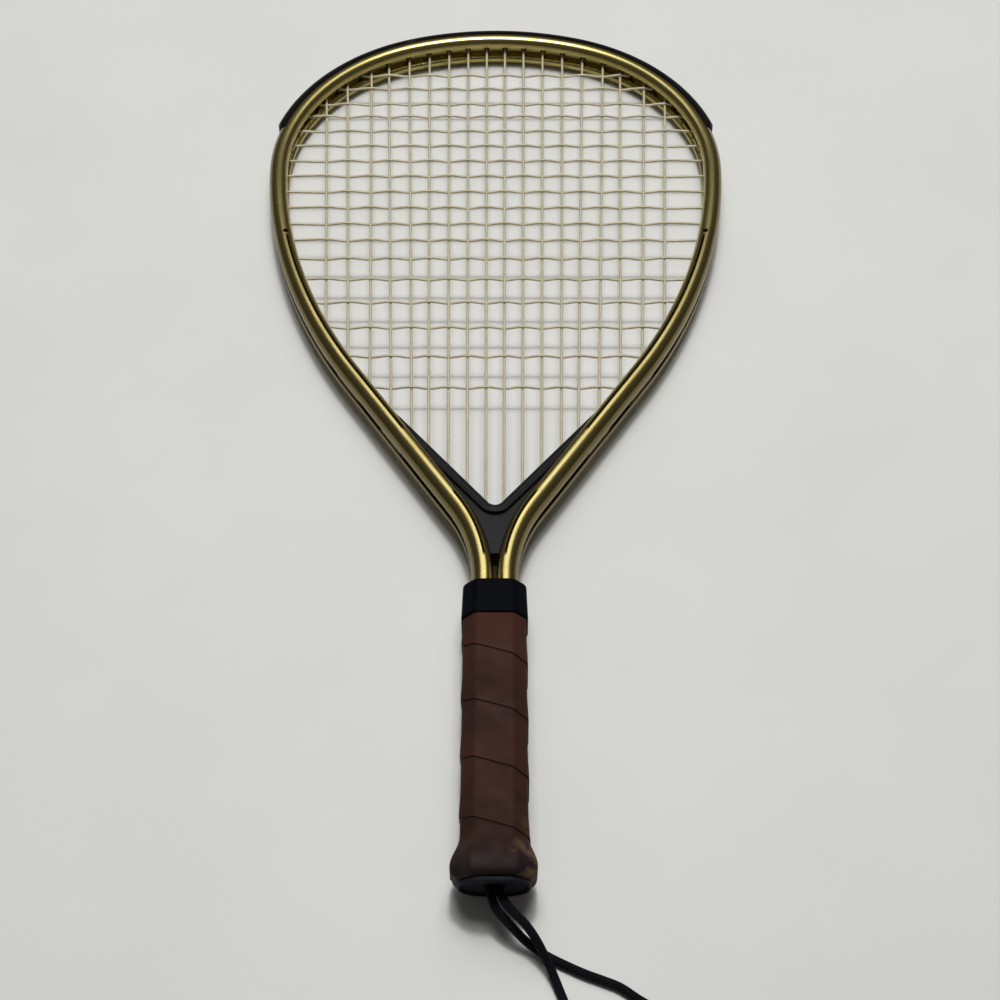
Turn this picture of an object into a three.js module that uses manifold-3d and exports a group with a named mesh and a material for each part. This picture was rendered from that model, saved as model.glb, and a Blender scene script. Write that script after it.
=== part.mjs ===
// A racquetball racket of the bent aluminium kind: one extrusion makes the head, the two legs and
// the arms inside the handle. It carries a moulded throat yoke, grommet strips, a bumper, woven
// strings, and a handle of two pallets wrapped in leather, with a wrist cord through the butt cap.
// Millimetres. The racket is modelled with its strings in the plane z = 0 and its butt at y = 0,
// then laid on its back, so that the head and the butt flare both rest on the ground.
import * as THREE from 'three';
import { mergeVertices } from 'three/addons/utils/BufferGeometryUtils.js';
import Module from 'manifold-3d';

const wasm = await Module();
wasm.setup();

// Clearance between two pieces that touch, and how far a cutter runs past what it cuts
const fit = 0.3;
const overrun = 3;

// Frame line: arcs from the crown to the throat, one straight leg, and the reverse bend
const crownRadius = 150;
const crownSweep = 17.4;
const shoulderRadius = 99;
const shoulderSweep = 74.5;
const sideRadius = 278;
const sideSweep = 31.4;
const throatRadius = 76;
const armSpacing = 10.8;
const bendStep = 7.6;

// Frame extrusion: two round rails joined by a web, grooved outside and channelled inside
const frameWidth = 9.4;
const frameDepth = 18;
const webThickness = 2;
const channelFloor = 4.8;
const lipRounding = 0.4;
const railSteps = 6;
const channelSteps = 2;

// Drain holes in the front rail, one on each side of the head
const drainDrop = 153.5;
const drainInset = 1.2;
const drainDiameter = 2.2;
const drainDepth = 2.5;
const drainSides = 8;

// Strings: the mains fan out from the throat, and the crosses lie square to the racket
const stringDiameter = 1.3;
const stringSides = 4;
const mainsPerSide = 9;
const mainPitch = 9.9;
const mainPitchDrop = 58;
const mainPitchGrowthShare = 0.015;
const mainFanLength = 1560;
const crossCount = 18;
const firstCrossDrop = 21.2;
const crossPitch = 12;
const evenCrosses = 12;
const crossPitchGrowth = 1.35;
const crossesAmongTops = 2;
const crossesAmongBottoms = 2;
const holeLand = 1.7;
const mouthLead = 0.6;
const sharpTurn = 48;
const stringBend = 1;

// Grommet strips: a plate in the outer groove of the frame, with a barrel through each hole
const barrelWall = 0.35;
const barrelProud = 1;
const barrelSides = 4;
const stripPlate = 0.6;
const stripTail = 6;
const grooveSlack = 0.4;
const stringSink = 0.5;

// Bumper guard round the head, with a rib that sits in the groove
const bumperThickness = 2.1;
const bumperDepth = 13;
const bumperHolesPerSide = 14;
const bumperEdge = 0.9;
const bumperRib = 0.5;

// Throat yoke: a raised lip along the V, two thin plates behind it, and a solid heel
const yokeSink = 4.5;
const yokeHalfAngle = 39.6;
const yokeApexRadius = 4;
const yokeApexSteps = 4;
const yokeDepth = 14;
const yokeLip = 4.4;
const yokePlateDepth = 10;
const yokePlate = 1.6;
const yokeHeel = 8;
const yokeFootShare = 0.7;
const yokeTongue = 1.8;
const yokeHole = 2.6;
const yokeStringsPerSide = 4;

// Handle: two pallets that clamp the arms, held by cross pins
const handleLength = 148;
const throatLead = 4.5;
const palletWidth = 24;
const palletDepth = 22;
const palletBevel = 4.4;
const armStart = 24;
const pinDiameter = 2.4;
const pinSides = 12;
const pinPlaces = [58, 118];
const pinInset = 0.6;

// Leather grip: one strip wound from the butt, with the rear edge of each turn on the last turn
const leatherThickness = 1.4;
const leatherRise = 0.7;
const wrapPitch = 27;
const wrapPlace = 7.7;
const wrapShares = [[0, 1], [0.18, 0.8], [0.4, 0.1], [0.98, 0]];
const gripRounding = 1.7;
const gripStart = 6.3;
const flarePlace = 13.5;
const flareLength = 14.6;
const flareGrowth = 3.5;
const neckGrowth = 2.2;

// Collar over the front of the handle
const collarLength = 18;
const collarWall = 2.1;
const collarFront = 2.6;
const collarShoulder = 3;

// Butt cap: a cup over the pallets, flared under the leather. Its open end is cut at a slant and
// has a recess, with a floor that the cord goes through.
const cupEnd = 23;
const flareSteps = 4;
const capEndGrowth = 3.2;
const capSlant = 9;
const capRecess = 9.7;
const recessGrowth = 0.8;
const capFloor = 2.4;

// Wrist cord: both its ends pass through the butt cap to one knot inside
const cordDiameter = 3.6;
const cordSides = 8;
const cordStep = 7.5;
const cordHoleSlack = 0.7;
const cordLead = 2.4;
const knotDiameter = 8;
const knotSlack = 0.8;
const knotSides = 10;

const material = (color, roughness, metalness) => new THREE.MeshStandardMaterial({
  color, roughness, metalness,
});
const gold = material(0x9a8434, 0.32, 0.9);
const nylon = material(0x1b1a19, 0.5, 0);
const gut = material(0xb9ad84, 0.55, 0);
const brownLeather = material(0x43221a, 0.62, 0);
const collarRubber = material(0x0b0d16, 0.6, 0);
const capRubber = material(0x3a3a3b, 0.75, 0);
const foam = material(0x8a8273, 0.8, 0);
const steel = material(0x8f9194, 0.35, 1);
const braid = material(0x0c0f1b, 0.85, 0);

// The racket lies in the world; its body is built in the racket's own frame and then tilted
const racket = new THREE.Group();
const body = new THREE.Group();
racket.add(body);
const degrees = Math.PI / 180;

// Turns a closed three.js geometry into a solid that can be joined and cut
function solid(geometry) {
  const bare = geometry.clone();
  bare.deleteAttribute('normal');
  bare.deleteAttribute('uv');
  const merged = mergeVertices(bare);
  return new wasm.Manifold(new wasm.Mesh({
    numProp: 3,
    vertProperties: new Float32Array(merged.attributes.position.array),
    triVerts: new Uint32Array(merged.index.array),
  }));
}

// Adds a solid to a group as a named mesh
function addPart(name, piece, surface, group = body) {
  const result = piece.getMesh();
  const geometry = new THREE.BufferGeometry();
  geometry.setAttribute('position', new THREE.BufferAttribute(result.vertProperties, 3));
  geometry.setIndex(new THREE.BufferAttribute(result.triVerts, 1));
  geometry.computeVertexNormals();
  const mesh = new THREE.Mesh(geometry, surface);
  mesh.name = name;
  group.add(mesh);
  return mesh;
}

const joined = (pieces) => pieces.reduce((sum, piece) => sum.add(piece));
const cut = (piece, cutters) => cutters.reduce((rest, cutter) => rest.subtract(cutter), piece);

function indexedSolid(points, index) {
  const geometry = new THREE.BufferGeometry().setFromPoints(points);
  geometry.setIndex(index);
  return solid(geometry);
}

const middleOf = (points) => points
  .reduce((sum, point) => sum.add(point), new THREE.Vector3())
  .divideScalar(points.length);

// A solid through rings of equally many points, closed at both ends on their middle points
function loft(rings) {
  const count = rings[0].length;
  const points = [...rings.flat(), middleOf(rings[0]), middleOf(rings.at(-1))];
  const last = (rings.length - 1) * count;
  const index = [];
  for (let j = 0; j < count; j++) {
    const next = (j + 1) % count;
    for (let row = 0; row < last; row += count) {
      index.push(row + j, row + next, row + count + next);
      index.push(row + j, row + count + next, row + count + j);
    }
    index.push(next, j, points.length - 2);
    index.push(last + j, last + next, points.length - 1);
  }
  return indexedSolid(points, index);
}

// A path given by its own rings, so that a bend has rings only where it turns
class RingPath extends THREE.Curve {
  constructor(points, tangents) {
    super();
    this.points = points;
    this.tangents = tangents;
  }

  ringNumber(u) {
    return Math.round(u * (this.points.length - 1));
  }

  getPointAt(u, target = new THREE.Vector3()) {
    return target.copy(this.points[this.ringNumber(u)]);
  }

  getTangentAt(u, target = new THREE.Vector3()) {
    return target.copy(this.tangents[this.ringNumber(u)]);
  }
}

function sweep(outline, path) {
  return solid(new THREE.ExtrudeGeometry(new THREE.Shape(outline), {
    steps: path.points.length - 1,
    bevelEnabled: false,
    extrudePath: path,
  }));
}

// A regular outline with its corners on a circle, turned so that a flat side faces along x
function regularOutline(diameter, sides) {
  return Array.from({ length: sides }, (_, i) => {
    const turn = 2 * Math.PI * (i + 0.5) / sides;
    return new THREE.Vector2(Math.cos(turn), Math.sin(turn)).multiplyScalar(diameter / 2);
  });
}

// Rounds each sharp corner of a line to a small arc
function eased(corners, radius) {
  return corners.flatMap((corner, i) => {
    if (i === 0 || i === corners.length - 1) return [corner];
    const into = corner.clone().sub(corners[i - 1]).normalize();
    const out = corners[i + 1].clone().sub(corner).normalize();
    const turn = into.angleTo(out);
    if (turn < sharpTurn * degrees) return [corner];
    const start = corner.clone().addScaledVector(into, -radius * Math.tan(turn / 2));
    const inner = out.clone().addScaledVector(into, -Math.cos(turn)).normalize();
    const steps = Math.ceil(turn / (sharpTurn * degrees));
    return Array.from({ length: steps + 1 }, (_, k) => start.clone()
      .addScaledVector(into, radius * Math.sin(turn * k / steps))
      .addScaledVector(inner, radius * (1 - Math.cos(turn * k / steps))));
  });
}

// A tube through corner points, with its section halfway round the turn at each corner
function tube(corners, diameter, sides) {
  const tangents = corners.map((point, i) => {
    const before = corners[Math.max(i - 1, 0)];
    const after = corners[Math.min(i + 1, corners.length - 1)];
    const into = point.clone().sub(before).normalize();
    const out = after.clone().sub(point).normalize();
    return into.add(out).normalize();
  });
  return sweep(regularOutline(diameter, sides), new RingPath(corners, tangents));
}

// Moves each corner of a closed counter-clockwise outline outwards by a distance
function outset(outline, distance) {
  return outline.map((point, i) => {
    const before = outline.at(i - 1);
    const after = outline[(i + 1) % outline.length];
    const into = point.clone().sub(before).normalize();
    const out = after.clone().sub(point).normalize();
    const normal = new THREE.Vector2(into.y + out.y, -into.x - out.x).normalize();
    const cosine = normal.x * into.y - normal.y * into.x;
    return point.clone().addScaledVector(normal, distance / cosine);
  });
}

// A flat outline in the plane of the strings, raised between two heights
function prism(outline, low, high) {
  const geometry = new THREE.ExtrudeGeometry(new THREE.Shape(outline), {
    depth: high - low, bevelEnabled: false,
  });
  return solid(geometry.translate(0, 0, low));
}

// The frame line is worked out on the right-hand side, from the crown down to the arm's end.
// A heading turns clockwise from +x, and a piece with no radius is straight.
function placeAlong({ x, y, heading, radius, hand }, along) {
  if (!radius) {
    return { x: x + along * Math.cos(heading), y: y - along * Math.sin(heading), heading };
  }
  const turned = heading + hand * along / radius;
  return {
    x: x + hand * radius * (Math.sin(turned) - Math.sin(heading)),
    y: y + hand * radius * (Math.cos(turned) - Math.cos(heading)),
    heading: turned,
  };
}

function frameHalf() {
  const pieces = [];
  let place = { x: 0, y: 0, heading: 0 };
  const extend = (length, radius = 0, hand = 1) => {
    const piece = { ...place, radius, hand, length };
    pieces.push(piece);
    place = placeAlong(piece, length);
  };
  extend(crownRadius * crownSweep * degrees, crownRadius);
  extend(shoulderRadius * shoulderSweep * degrees, shoulderRadius);
  extend(sideRadius * sideSweep * degrees, sideRadius);
  const lean = place.heading - Math.PI / 2;
  const reach = place.x - throatRadius * (1 - Math.cos(lean)) - armSpacing / 2;
  extend(reach / Math.sin(lean));
  extend(throatRadius * lean, throatRadius, -1);
  const lift = handleLength + throatLead - place.y;
  pieces.forEach((piece) => { piece.y += lift; });
  place.y += lift;
  extend(place.y - armStart);
  return pieces;
}

const frameLine = frameHalf();
const crown = frameLine[0].y;
const sumOfLengths = (pieces) => pieces.reduce((sum, { length }) => sum + length, 0);
const frameEnd = sumOfLengths(frameLine);
const throatStart = sumOfLengths(frameLine.slice(0, -2));
const throatEnd = sumOfLengths(frameLine.slice(0, -1));

// Stations of the rings: the ends of each piece, and steps round each bend, on both sides
function ringMarks() {
  const marks = [];
  let start = 0;
  for (const { length, radius } of frameLine) {
    const steps = radius ? Math.ceil(length / (radius * bendStep * degrees)) : 1;
    for (let i = 1; i <= steps; i++) marks.push(start + length * i / steps);
    start += length;
  }
  return [...marks.map((mark) => -mark).reverse(), 0, ...marks];
}

// Point and outward direction of the true bend at a distance from the crown
function ringAt(station) {
  const side = station < 0 ? -1 : 1;
  let along = Math.abs(station);
  let number = 0;
  while (number < frameLine.length - 1 && along > frameLine[number].length) {
    along -= frameLine[number].length;
    number += 1;
  }
  const { x, y, heading } = placeAlong(frameLine[number], along);
  return {
    point: new THREE.Vector3(side * x, y, 0),
    outward: new THREE.Vector3(side * Math.sin(heading), Math.cos(heading), 0),
  };
}

const marks = ringMarks();
const rings = marks.map(ringAt);

// Place, travel and outward direction at a distance from the crown, negative on the left.
// Between two rings the line is straight, as the swept frame is.
function frameAt(station) {
  const after = marks.findIndex((mark) => mark > station);
  const next = after < 0 ? marks.length - 1 : Math.max(after, 1);
  const share = (station - marks[next - 1]) / (marks[next] - marks[next - 1]);
  const point = rings[next - 1].point.clone().lerp(rings[next].point, share);
  const outward = rings[next - 1].outward.clone().lerp(rings[next].outward, share).normalize();
  return { point, outward, travel: new THREE.Vector3(outward.y, -outward.x, 0) };
}

// A point beside the frame line, further out by a distance
function beside(station, out) {
  const { point, outward } = frameAt(station);
  return point.addScaledVector(outward, out);
}

function ringStations(from, to) {
  return [from, ...marks.filter((mark) => mark > from + fit && mark < to - fit), to];
}

function framePath(from, to) {
  const places = ringStations(from, to).map(frameAt);
  return new RingPath(places.map(({ point }) => point), places.map(({ travel }) => travel));
}

// The station between two others at which a measure changes its sign
function stationWhere(measure, from, to) {
  const sign = Math.sign(measure(from));
  let near = from;
  let far = to;
  for (let halving = 0; halving < 40; halving++) {
    const middle = (near + far) / 2;
    if (Math.sign(measure(middle)) === sign) near = middle;
    else far = middle;
  }
  return (near + far) / 2;
}

const widest = stationWhere((station) => frameAt(station).outward.y, 0, throatStart);

// Frame section, as height above the strings and distance outwards from the frame line.
// The groove outside is just deep enough for the grommet plate and a string over it.
const barrelAcross = stringDiameter + 2 * fit + 2 * barrelWall;
const grooveHalf = barrelAcross / 2 + grooveSlack;
const grooveDepth = fit + stripPlate + fit + stringDiameter + stringSink;
const webOuter = frameWidth / 2 - grooveDepth;
const webInner = webOuter - webThickness;
const stripFace = webOuter + fit + stripPlate;
const stringLayer = stripFace + fit + stringDiameter / 2;
const barrelTip = webInner - barrelProud;
const mouth = barrelTip - mouthLead;
const railRadius = frameWidth / 2;
const railMiddle = frameDepth / 2 - railRadius;

// The round back of one rail, from its outer side over the top to its inner side
function railBack() {
  return Array.from({ length: railSteps + 1 }, (_, i) => {
    const turn = Math.PI * i / railSteps;
    return [railMiddle + railRadius * Math.sin(turn), railRadius * Math.cos(turn)];
  });
}

const bothRails = (half) => [
  ...half, ...half.map(([height, out]) => [-height, out]).reverse(),
].map(([height, out]) => new THREE.Vector2(height, out)).reverse();

function frameSection() {
  const flank = Array.from({ length: channelSteps }, (_, i) => {
    const turn = Math.PI / 2 * (i + 1) / channelSteps;
    return [
      railMiddle - (railMiddle - channelFloor / 2) * Math.sin(turn),
      -railRadius + (webInner + railRadius) * (1 - Math.cos(turn)),
    ];
  });
  return bothRails([
    [grooveHalf, webOuter],
    [grooveHalf, railRadius - lipRounding],
    [grooveHalf + lipRounding, railRadius],
    ...railBack(),
    ...flank,
  ]);
}

// String lines. A main's distance from the middle line grows with its height in the head.
const mainLine = crown - mainPitchDrop;
const mainAcross = (rank) => mainPitch * (rank + 0.5)
  * (1 + mainPitchGrowthShare * (rank + 0.5));
const mainAt = (rank, y) => mainAcross(rank) * (1 - (mainLine - y) / mainFanLength);

function crossHeights() {
  const heights = [];
  let y = crown - firstCrossDrop;
  for (let row = 0; row < crossCount; row++) {
    heights.push(y);
    y -= crossPitch + crossPitchGrowth * Math.max(0, row + 2 - evenCrosses);
  }
  return heights;
}

// The drilling order from the crown down. Mains and crosses take turns at the shoulder, and
// again on the leg.
function drillingOrder() {
  const named = (word, from, to) => Array.from(
    { length: Math.abs(to - from) + 1 },
    (_, i) => `${word} ${from + i * Math.sign(to - from)}`,
  );
  const lastMain = mainsPerSide - 1;
  const lastCross = crossCount - 1;
  const shoulder = Array.from({ length: crossesAmongTops }, (_, i) => (
    [`cross ${i}`, `top ${mainsPerSide - crossesAmongTops + i}`]
  ));
  const leg = Array.from({ length: crossesAmongBottoms }, (_, i) => (
    [`bottom ${lastMain - i}`, `cross ${crossCount - crossesAmongBottoms + i}`]
  ));
  return [
    ...named('top', 0, lastMain - crossesAmongTops),
    ...shoulder.flat(),
    ...named('cross', crossesAmongTops, lastCross - crossesAmongBottoms),
    ...leg.flat(),
    ...named('bottom', lastMain - crossesAmongBottoms, yokeStringsPerSide),
  ];
}

// Where the line of a string meets the frame line
function meetingStation(key) {
  const [word, number] = key.split(' ');
  if (word === 'cross') {
    const height = crossHeights()[number];
    return stationWhere((station) => frameAt(station).point.y - height, 0, throatStart);
  }
  const offLine = (station) => {
    const { point } = frameAt(station);
    return point.x - mainAt(Number(number), point.y);
  };
  return word === 'top' ? stationWhere(offLine, 0, widest)
    : stationWhere(offLine, widest, throatStart);
}

// Holes on one side of the frame, in drilling order and kept a land apart
function holeStations() {
  const drilled = drillingOrder().map((key) => ({ key, station: meetingStation(key) }));
  const apart = (barrelAcross + 2 * fit) / Math.cos(Math.PI / barrelSides) + holeLand;
  for (let round = 0; round < 80; round++) {
    for (let i = 1; i < drilled.length; i++) {
      const lack = apart - (drilled[i].station - drilled[i - 1].station);
      if (lack > 0) {
        drilled[i - 1].station -= lack / 2;
        drilled[i].station += lack / 2;
      }
    }
  }
  return drilled;
}

const holes = holeStations();
const holeAt = Object.fromEntries(holes.map(({ key, station }) => [key, station]));
const allHoles = holes.flatMap(({ station }) => [-station, station]);

// A main turns in the groove at each of its holes but the last, which holds the string's end
const turnHoles = holes
  .filter(({ key }) => !key.startsWith('cross') && key !== `bottom ${mainsPerSide - 1}`)
  .flatMap(({ station }) => [-station, station]);

// The V of the yoke: its slope, and the point where a main enters it
const yokeApex = frameAt(throatStart).point.y - yokeSink;
const yokeSlope = 1 / Math.tan(yokeHalfAngle * degrees);
function yokeEntry(rank) {
  const across = mainAcross(rank);
  const fromApex = across * (1 - (mainLine - yokeApex) / mainFanLength);
  const x = fromApex / (1 - across * yokeSlope / mainFanLength);
  return new THREE.Vector3(x, yokeApex + yokeSlope * x, 0);
}

// The two ends of a main on the right: at its mouth in the crown, and in the leg or the yoke
function mainEnds(rank) {
  const top = beside(holeAt[`top ${rank}`], mouth);
  if (rank >= yokeStringsPerSide) return [top, beside(holeAt[`bottom ${rank}`], mouth)];
  const entry = yokeEntry(rank);
  const behind = (yokeLip + fit + stringDiameter / 2) / Math.sin(yokeHalfAngle * degrees);
  const direction = entry.clone().sub(top).normalize();
  return [top, entry.addScaledVector(direction, behind)];
}

const mirrored = (point) => point.clone().setX(-point.x);

// Every string run, left to right or top to bottom, with its ends and its hole stations
function mainRuns() {
  return Array.from({ length: 2 * mainsPerSide }, (_, order) => {
    const left = order < mainsPerSide;
    const rank = left ? mainsPerSide - 1 - order : order - mainsPerSide;
    const side = left ? -1 : 1;
    const [top, bottom] = mainEnds(rank).map((point) => (left ? mirrored(point) : point));
    const low = rank < yokeStringsPerSide ? null : side * holeAt[`bottom ${rank}`];
    return { ends: [bottom, top], stations: [low, side * holeAt[`top ${rank}`]] };
  });
}

function crossRuns() {
  return Array.from({ length: crossCount }, (_, row) => {
    const station = holeAt[`cross ${row}`];
    const right = beside(station, mouth);
    return { ends: [mirrored(right), right], stations: [-station, station] };
  });
}

const mains = mainRuns();
const crosses = crossRuns();
const weave = (stringDiameter + fit) / 2;

// The corners of a run: it rides over and under every string that it crosses
function wovenRun(run, others, order, hand) {
  const [start, end] = run.ends;
  const along = end.clone().sub(start);
  const corners = [start.clone()];
  others.forEach((other, number) => {
    const [from, to] = other.ends;
    const across = to.clone().sub(from);
    const gap = from.clone().sub(start);
    const turn = along.x * across.y - along.y * across.x;
    const share = (gap.x * across.y - gap.y * across.x) / turn;
    const otherShare = (gap.x * along.y - gap.y * along.x) / turn;
    if (share <= 0 || share >= 1 || otherShare <= 0 || otherShare >= 1) return;
    const over = (order + number) % 2 ? -1 : 1;
    corners.push(start.clone().addScaledVector(along, share).setZ(hand * over * weave));
  });
  const length = (corner) => corner.clone().setZ(0).distanceTo(start);
  return [...corners.sort((a, b) => length(a) - length(b)), end.clone()];
}

// The way round in the outer groove from one hole to the next, or behind the lip of the yoke.
// There is none past a hole where the other string turns in the groove.
function wayRound(from, to, taken) {
  if (from === null && to === null) return [];
  const low = Math.min(from, to);
  const high = Math.max(from, to);
  if (taken.some((station) => station > low && station < high)) return null;
  const round = ringStations(low, high).map((station) => beside(station, stringLayer));
  return from < to ? round : round.reverse();
}

// A string's lengths: runs laid alternately forwards and back, joined where there is a way
// round. An end that has no way round stops inside its barrel.
function threaded(runs, others, hand, taken) {
  const lengths = [];
  let corners = [];
  runs.forEach((run, order) => {
    const way = wovenRun(run, others, order, hand);
    const stations = [...run.stations];
    if (order % 2) {
      way.reverse();
      stations.reverse();
    }
    if (!corners.length) corners.push(beside(stations[0], webOuter));
    corners.push(...way);
    const next = runs[order + 1];
    const round = next ? wayRound(stations[1], next.stations[(order + 1) % 2], taken) : null;
    if (round) {
      corners.push(...round);
      return;
    }
    corners.push(beside(stations[1], webOuter));
    lengths.push(tube(eased(corners, stringBend), stringDiameter, stringSides));
    corners = [];
  });
  return lengths;
}

// A many-sided bar along the outward direction at a hole, measured across its flats
function bar(station, across, from, to) {
  const ends = [beside(station, from), beside(station, to)];
  return tube(ends, across / Math.cos(Math.PI / barrelSides), barrelSides);
}

// The frame: the section swept along its line, with a hole through the web for every string
const section = frameSection();
const looseSection = outset(section, fit);
const sweptFrame = (outline, past = 0) => (
  sweep(outline, framePath(-frameEnd - past, frameEnd + past))
);
const webHoles = allHoles.map((station) => (
  bar(station, barrelAcross + 2 * fit, webInner - fit, webOuter + fit)
));

function drainHoles() {
  const height = crown - drainDrop;
  const above = (station) => frameAt(station).point.y - height;
  const station = stationWhere(above, 0, throatStart);
  return [station, -station].map((side) => {
    const low = beside(side, -drainInset).setZ(frameDepth / 2 - drainDepth);
    return tube([low, low.clone().setZ(frameDepth)], drainDiameter, drainSides);
  });
}

// Cross pins lie along x in the plane of the strings, through both arms and both pallets
const crossPins = (diameter, length) => pinPlaces.map((y) => tube([
  new THREE.Vector3(-length / 2, y, 0),
  new THREE.Vector3(length / 2, y, 0),
], diameter, pinSides));
const pinHoles = crossPins(pinDiameter + 2 * fit, palletWidth + overrun);

const frame = cut(sweptFrame(section), [...webHoles, ...drainHoles(), ...pinHoles]);
addPart('frame', frame, gold);

// Grommet strips and the bumper over the strip of the head
const bumperEnd = (holes[bumperHolesPerSide - 1].station + holes[bumperHolesPerSide].station) / 2;
const stripEnd = holes.at(-1).station + stripTail;

function grommetStrip(from, to) {
  const half = grooveHalf - fit;
  const plate = sweep([
    new THREE.Vector2(-half, webOuter + fit),
    new THREE.Vector2(half, webOuter + fit),
    new THREE.Vector2(half, stripFace),
    new THREE.Vector2(-half, stripFace),
  ], framePath(from, to));
  const own = allHoles.filter((station) => station > from && station < to);
  const barrels = own.map((station) => (
    bar(station, barrelAcross, barrelTip, stripFace - stripPlate / 2)
  ));
  const bores = own.map((station) => (
    bar(station, stringDiameter + 2 * fit, barrelTip - overrun, stripFace + overrun)
  ));
  return cut(joined([plate, ...barrels]), bores);
}

addPart('grommet_strip_head', grommetStrip(fit - bumperEnd, bumperEnd - fit), nylon);
addPart('grommet_strip_left', grommetStrip(-stripEnd, -bumperEnd), nylon);
addPart('grommet_strip_right', grommetStrip(bumperEnd, stripEnd), nylon);

function bumperGuard() {
  const half = bumperDepth / 2;
  const inner = railRadius + fit;
  const outer = inner + bumperThickness;
  const rib = barrelAcross / 2;
  const outline = [
    [half, inner], [half, outer - bumperEdge], [half - bumperEdge, outer],
    [bumperEdge - half, outer], [-half, outer - bumperEdge], [-half, inner],
    [-rib, inner], [-rib, inner - bumperRib], [rib, inner - bumperRib], [rib, inner],
  ];
  return sweep(
    outline.map(([height, out]) => new THREE.Vector2(height, out)),
    framePath(-bumperEnd, bumperEnd),
  );
}

addPart('bumper_guard', bumperGuard(), nylon);

// Throat yoke. A distance square to the V is longer when it is measured along the racket.
const alongRacket = (distance) => distance / Math.sin(yokeHalfAngle * degrees);
const flat = ({ x, y }) => new THREE.Vector2(x, y);

function yoke() {
  const aboveV = (station) => {
    const { x, y } = beside(station, -railRadius);
    return y - yokeApex - yokeSlope * x;
  };
  const meeting = stationWhere(aboveV, widest, throatStart);
  const foot = throatStart + yokeFootShare * (throatEnd - throatStart);
  const footLine = frameAt(foot).point.y;
  const tongue = ringStations(meeting, foot)
    .map((station) => beside(station, yokeTongue - railRadius));
  const right = [beside(meeting, -railRadius), ...tongue].map(flat);
  const left = [beside(meeting, -railRadius), ...tongue].map(mirrored).map(flat).reverse();
  const reach = frameAt(meeting).point.x + frameWidth;
  const halfArc = Math.PI / 2 - yokeHalfAngle * degrees;
  const notch = Array.from({ length: yokeApexSteps + 1 }, (_, i) => {
    const turn = halfArc * (2 * i / yokeApexSteps - 1);
    const middle = yokeApex + alongRacket(yokeApexRadius);
    return new THREE.Vector2(
      yokeApexRadius * Math.sin(turn),
      middle - yokeApexRadius * Math.cos(turn),
    );
  });
  const outline = [...notch, ...right, ...left];
  const behindLip = (floor) => {
    const peak = yokeApex - alongRacket(yokeLip);
    return [
      new THREE.Vector2(0, peak),
      new THREE.Vector2(-reach, peak + yokeSlope * reach),
      new THREE.Vector2(-reach, floor),
      new THREE.Vector2(reach, floor),
      new THREE.Vector2(reach, peak + yokeSlope * reach),
    ];
  };
  const plateFace = yokePlateDepth / 2;
  const recess = behindLip(footLine - overrun);
  const slot = behindLip(footLine + yokeHeel);
  const stringHoles = mains.map(({ ends: [low, high] }) => {
    const direction = high.clone().sub(low).normalize();
    return tube([low, low.clone().addScaledVector(direction, reach)], yokeHole, knotSides);
  });
  return cut(prism(outline, -yokeDepth / 2, yokeDepth / 2), [
    prism(recess, plateFace, yokeDepth),
    prism(recess, -yokeDepth, -plateFace),
    prism(slot, yokePlate - plateFace, plateFace - yokePlate),
    sweptFrame(looseSection),
    ...stringHoles,
  ]);
}

addPart('throat_yoke', yoke(), nylon);

// Strings
const [mainString] = threaded(mains, crosses, 1, []);
addPart('main_string', mainString, gut);
const crossNames = ['cross_string_first_row', 'cross_string_second_row', 'cross_string',
  'cross_string_last_row'];
threaded(crosses, mains, -1, turnHoles).forEach((length, i) => {
  addPart(crossNames[i], length, gut);
});

// The handle's octagon, grown outwards by a distance, as x across and y through the handle
function octagon(growth) {
  const across = palletWidth / 2 + growth;
  const through = palletDepth / 2 + growth;
  const bevel = palletBevel + growth * (2 - Math.SQRT2);
  const quarter = [[across, bevel - through], [across, through - bevel],
    [across - bevel, through], [bevel - across, through]];
  return [...quarter, ...quarter.map(([x, y]) => [-x, -y])]
    .map(([x, y]) => new THREE.Vector2(x, y));
}

// The same outline with its corners eased
function softOctagon(growth) {
  const corners = octagon(growth);
  return corners.flatMap((corner, i) => {
    const toward = (other) => corner.clone()
      .add(other.clone().sub(corner).setLength(gripRounding));
    return [toward(corners.at(i - 1)), toward(corners[(i + 1) % corners.length])];
  });
}

// A handle piece lofted along the racket: each entry gives the place and the outline's growth
const handleRing = (outline, y) => outline.map((point) => new THREE.Vector3(point.x, y, -point.y));
const handleLoft = (outlineAt, profile) => loft(
  profile.map(([y, growth]) => handleRing(outlineAt(growth), y)),
);

const palletStart = capRecess + capFloor + fit;
const knotFace = capRecess + capFloor + knotSlack;
const palletEnd = handleLength - collarFront - fit;
const palletEnvelope = handleLoft(octagon, [[palletStart - fit, fit], [palletEnd + fit, fit]]);
const looseArms = sweptFrame(outset(bothRails(railBack()), fit), fit);
function alongHandle(outline, from, to) {
  return loft([from, to].map((y) => handleRing(outline, y)));
}

// A round chamber for the knot goes into the rear of the pallets
const chamberWidth = knotDiameter + 2 * knotSlack;
const knotChamber = alongHandle(
  regularOutline(chamberWidth, knotSides),
  palletStart - overrun,
  knotFace + knotDiameter + knotSlack,
);
const pallets = cut(
  handleLoft(octagon, [[palletStart, 0], [palletEnd, 0]]),
  [looseArms, knotChamber, ...pinHoles],
);
addPart('handle_pallet_front', pallets.trimByPlane([0, 0, 1], fit / 2), foam);
addPart('handle_pallet_back', pallets.trimByPlane([0, 0, -1], fit / 2), foam);
crossPins(pinDiameter, palletWidth - 2 * pinInset).forEach((pin, i) => {
  addPart(['handle_pin_rear', 'handle_pin_front'][i], pin, steel);
});

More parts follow.
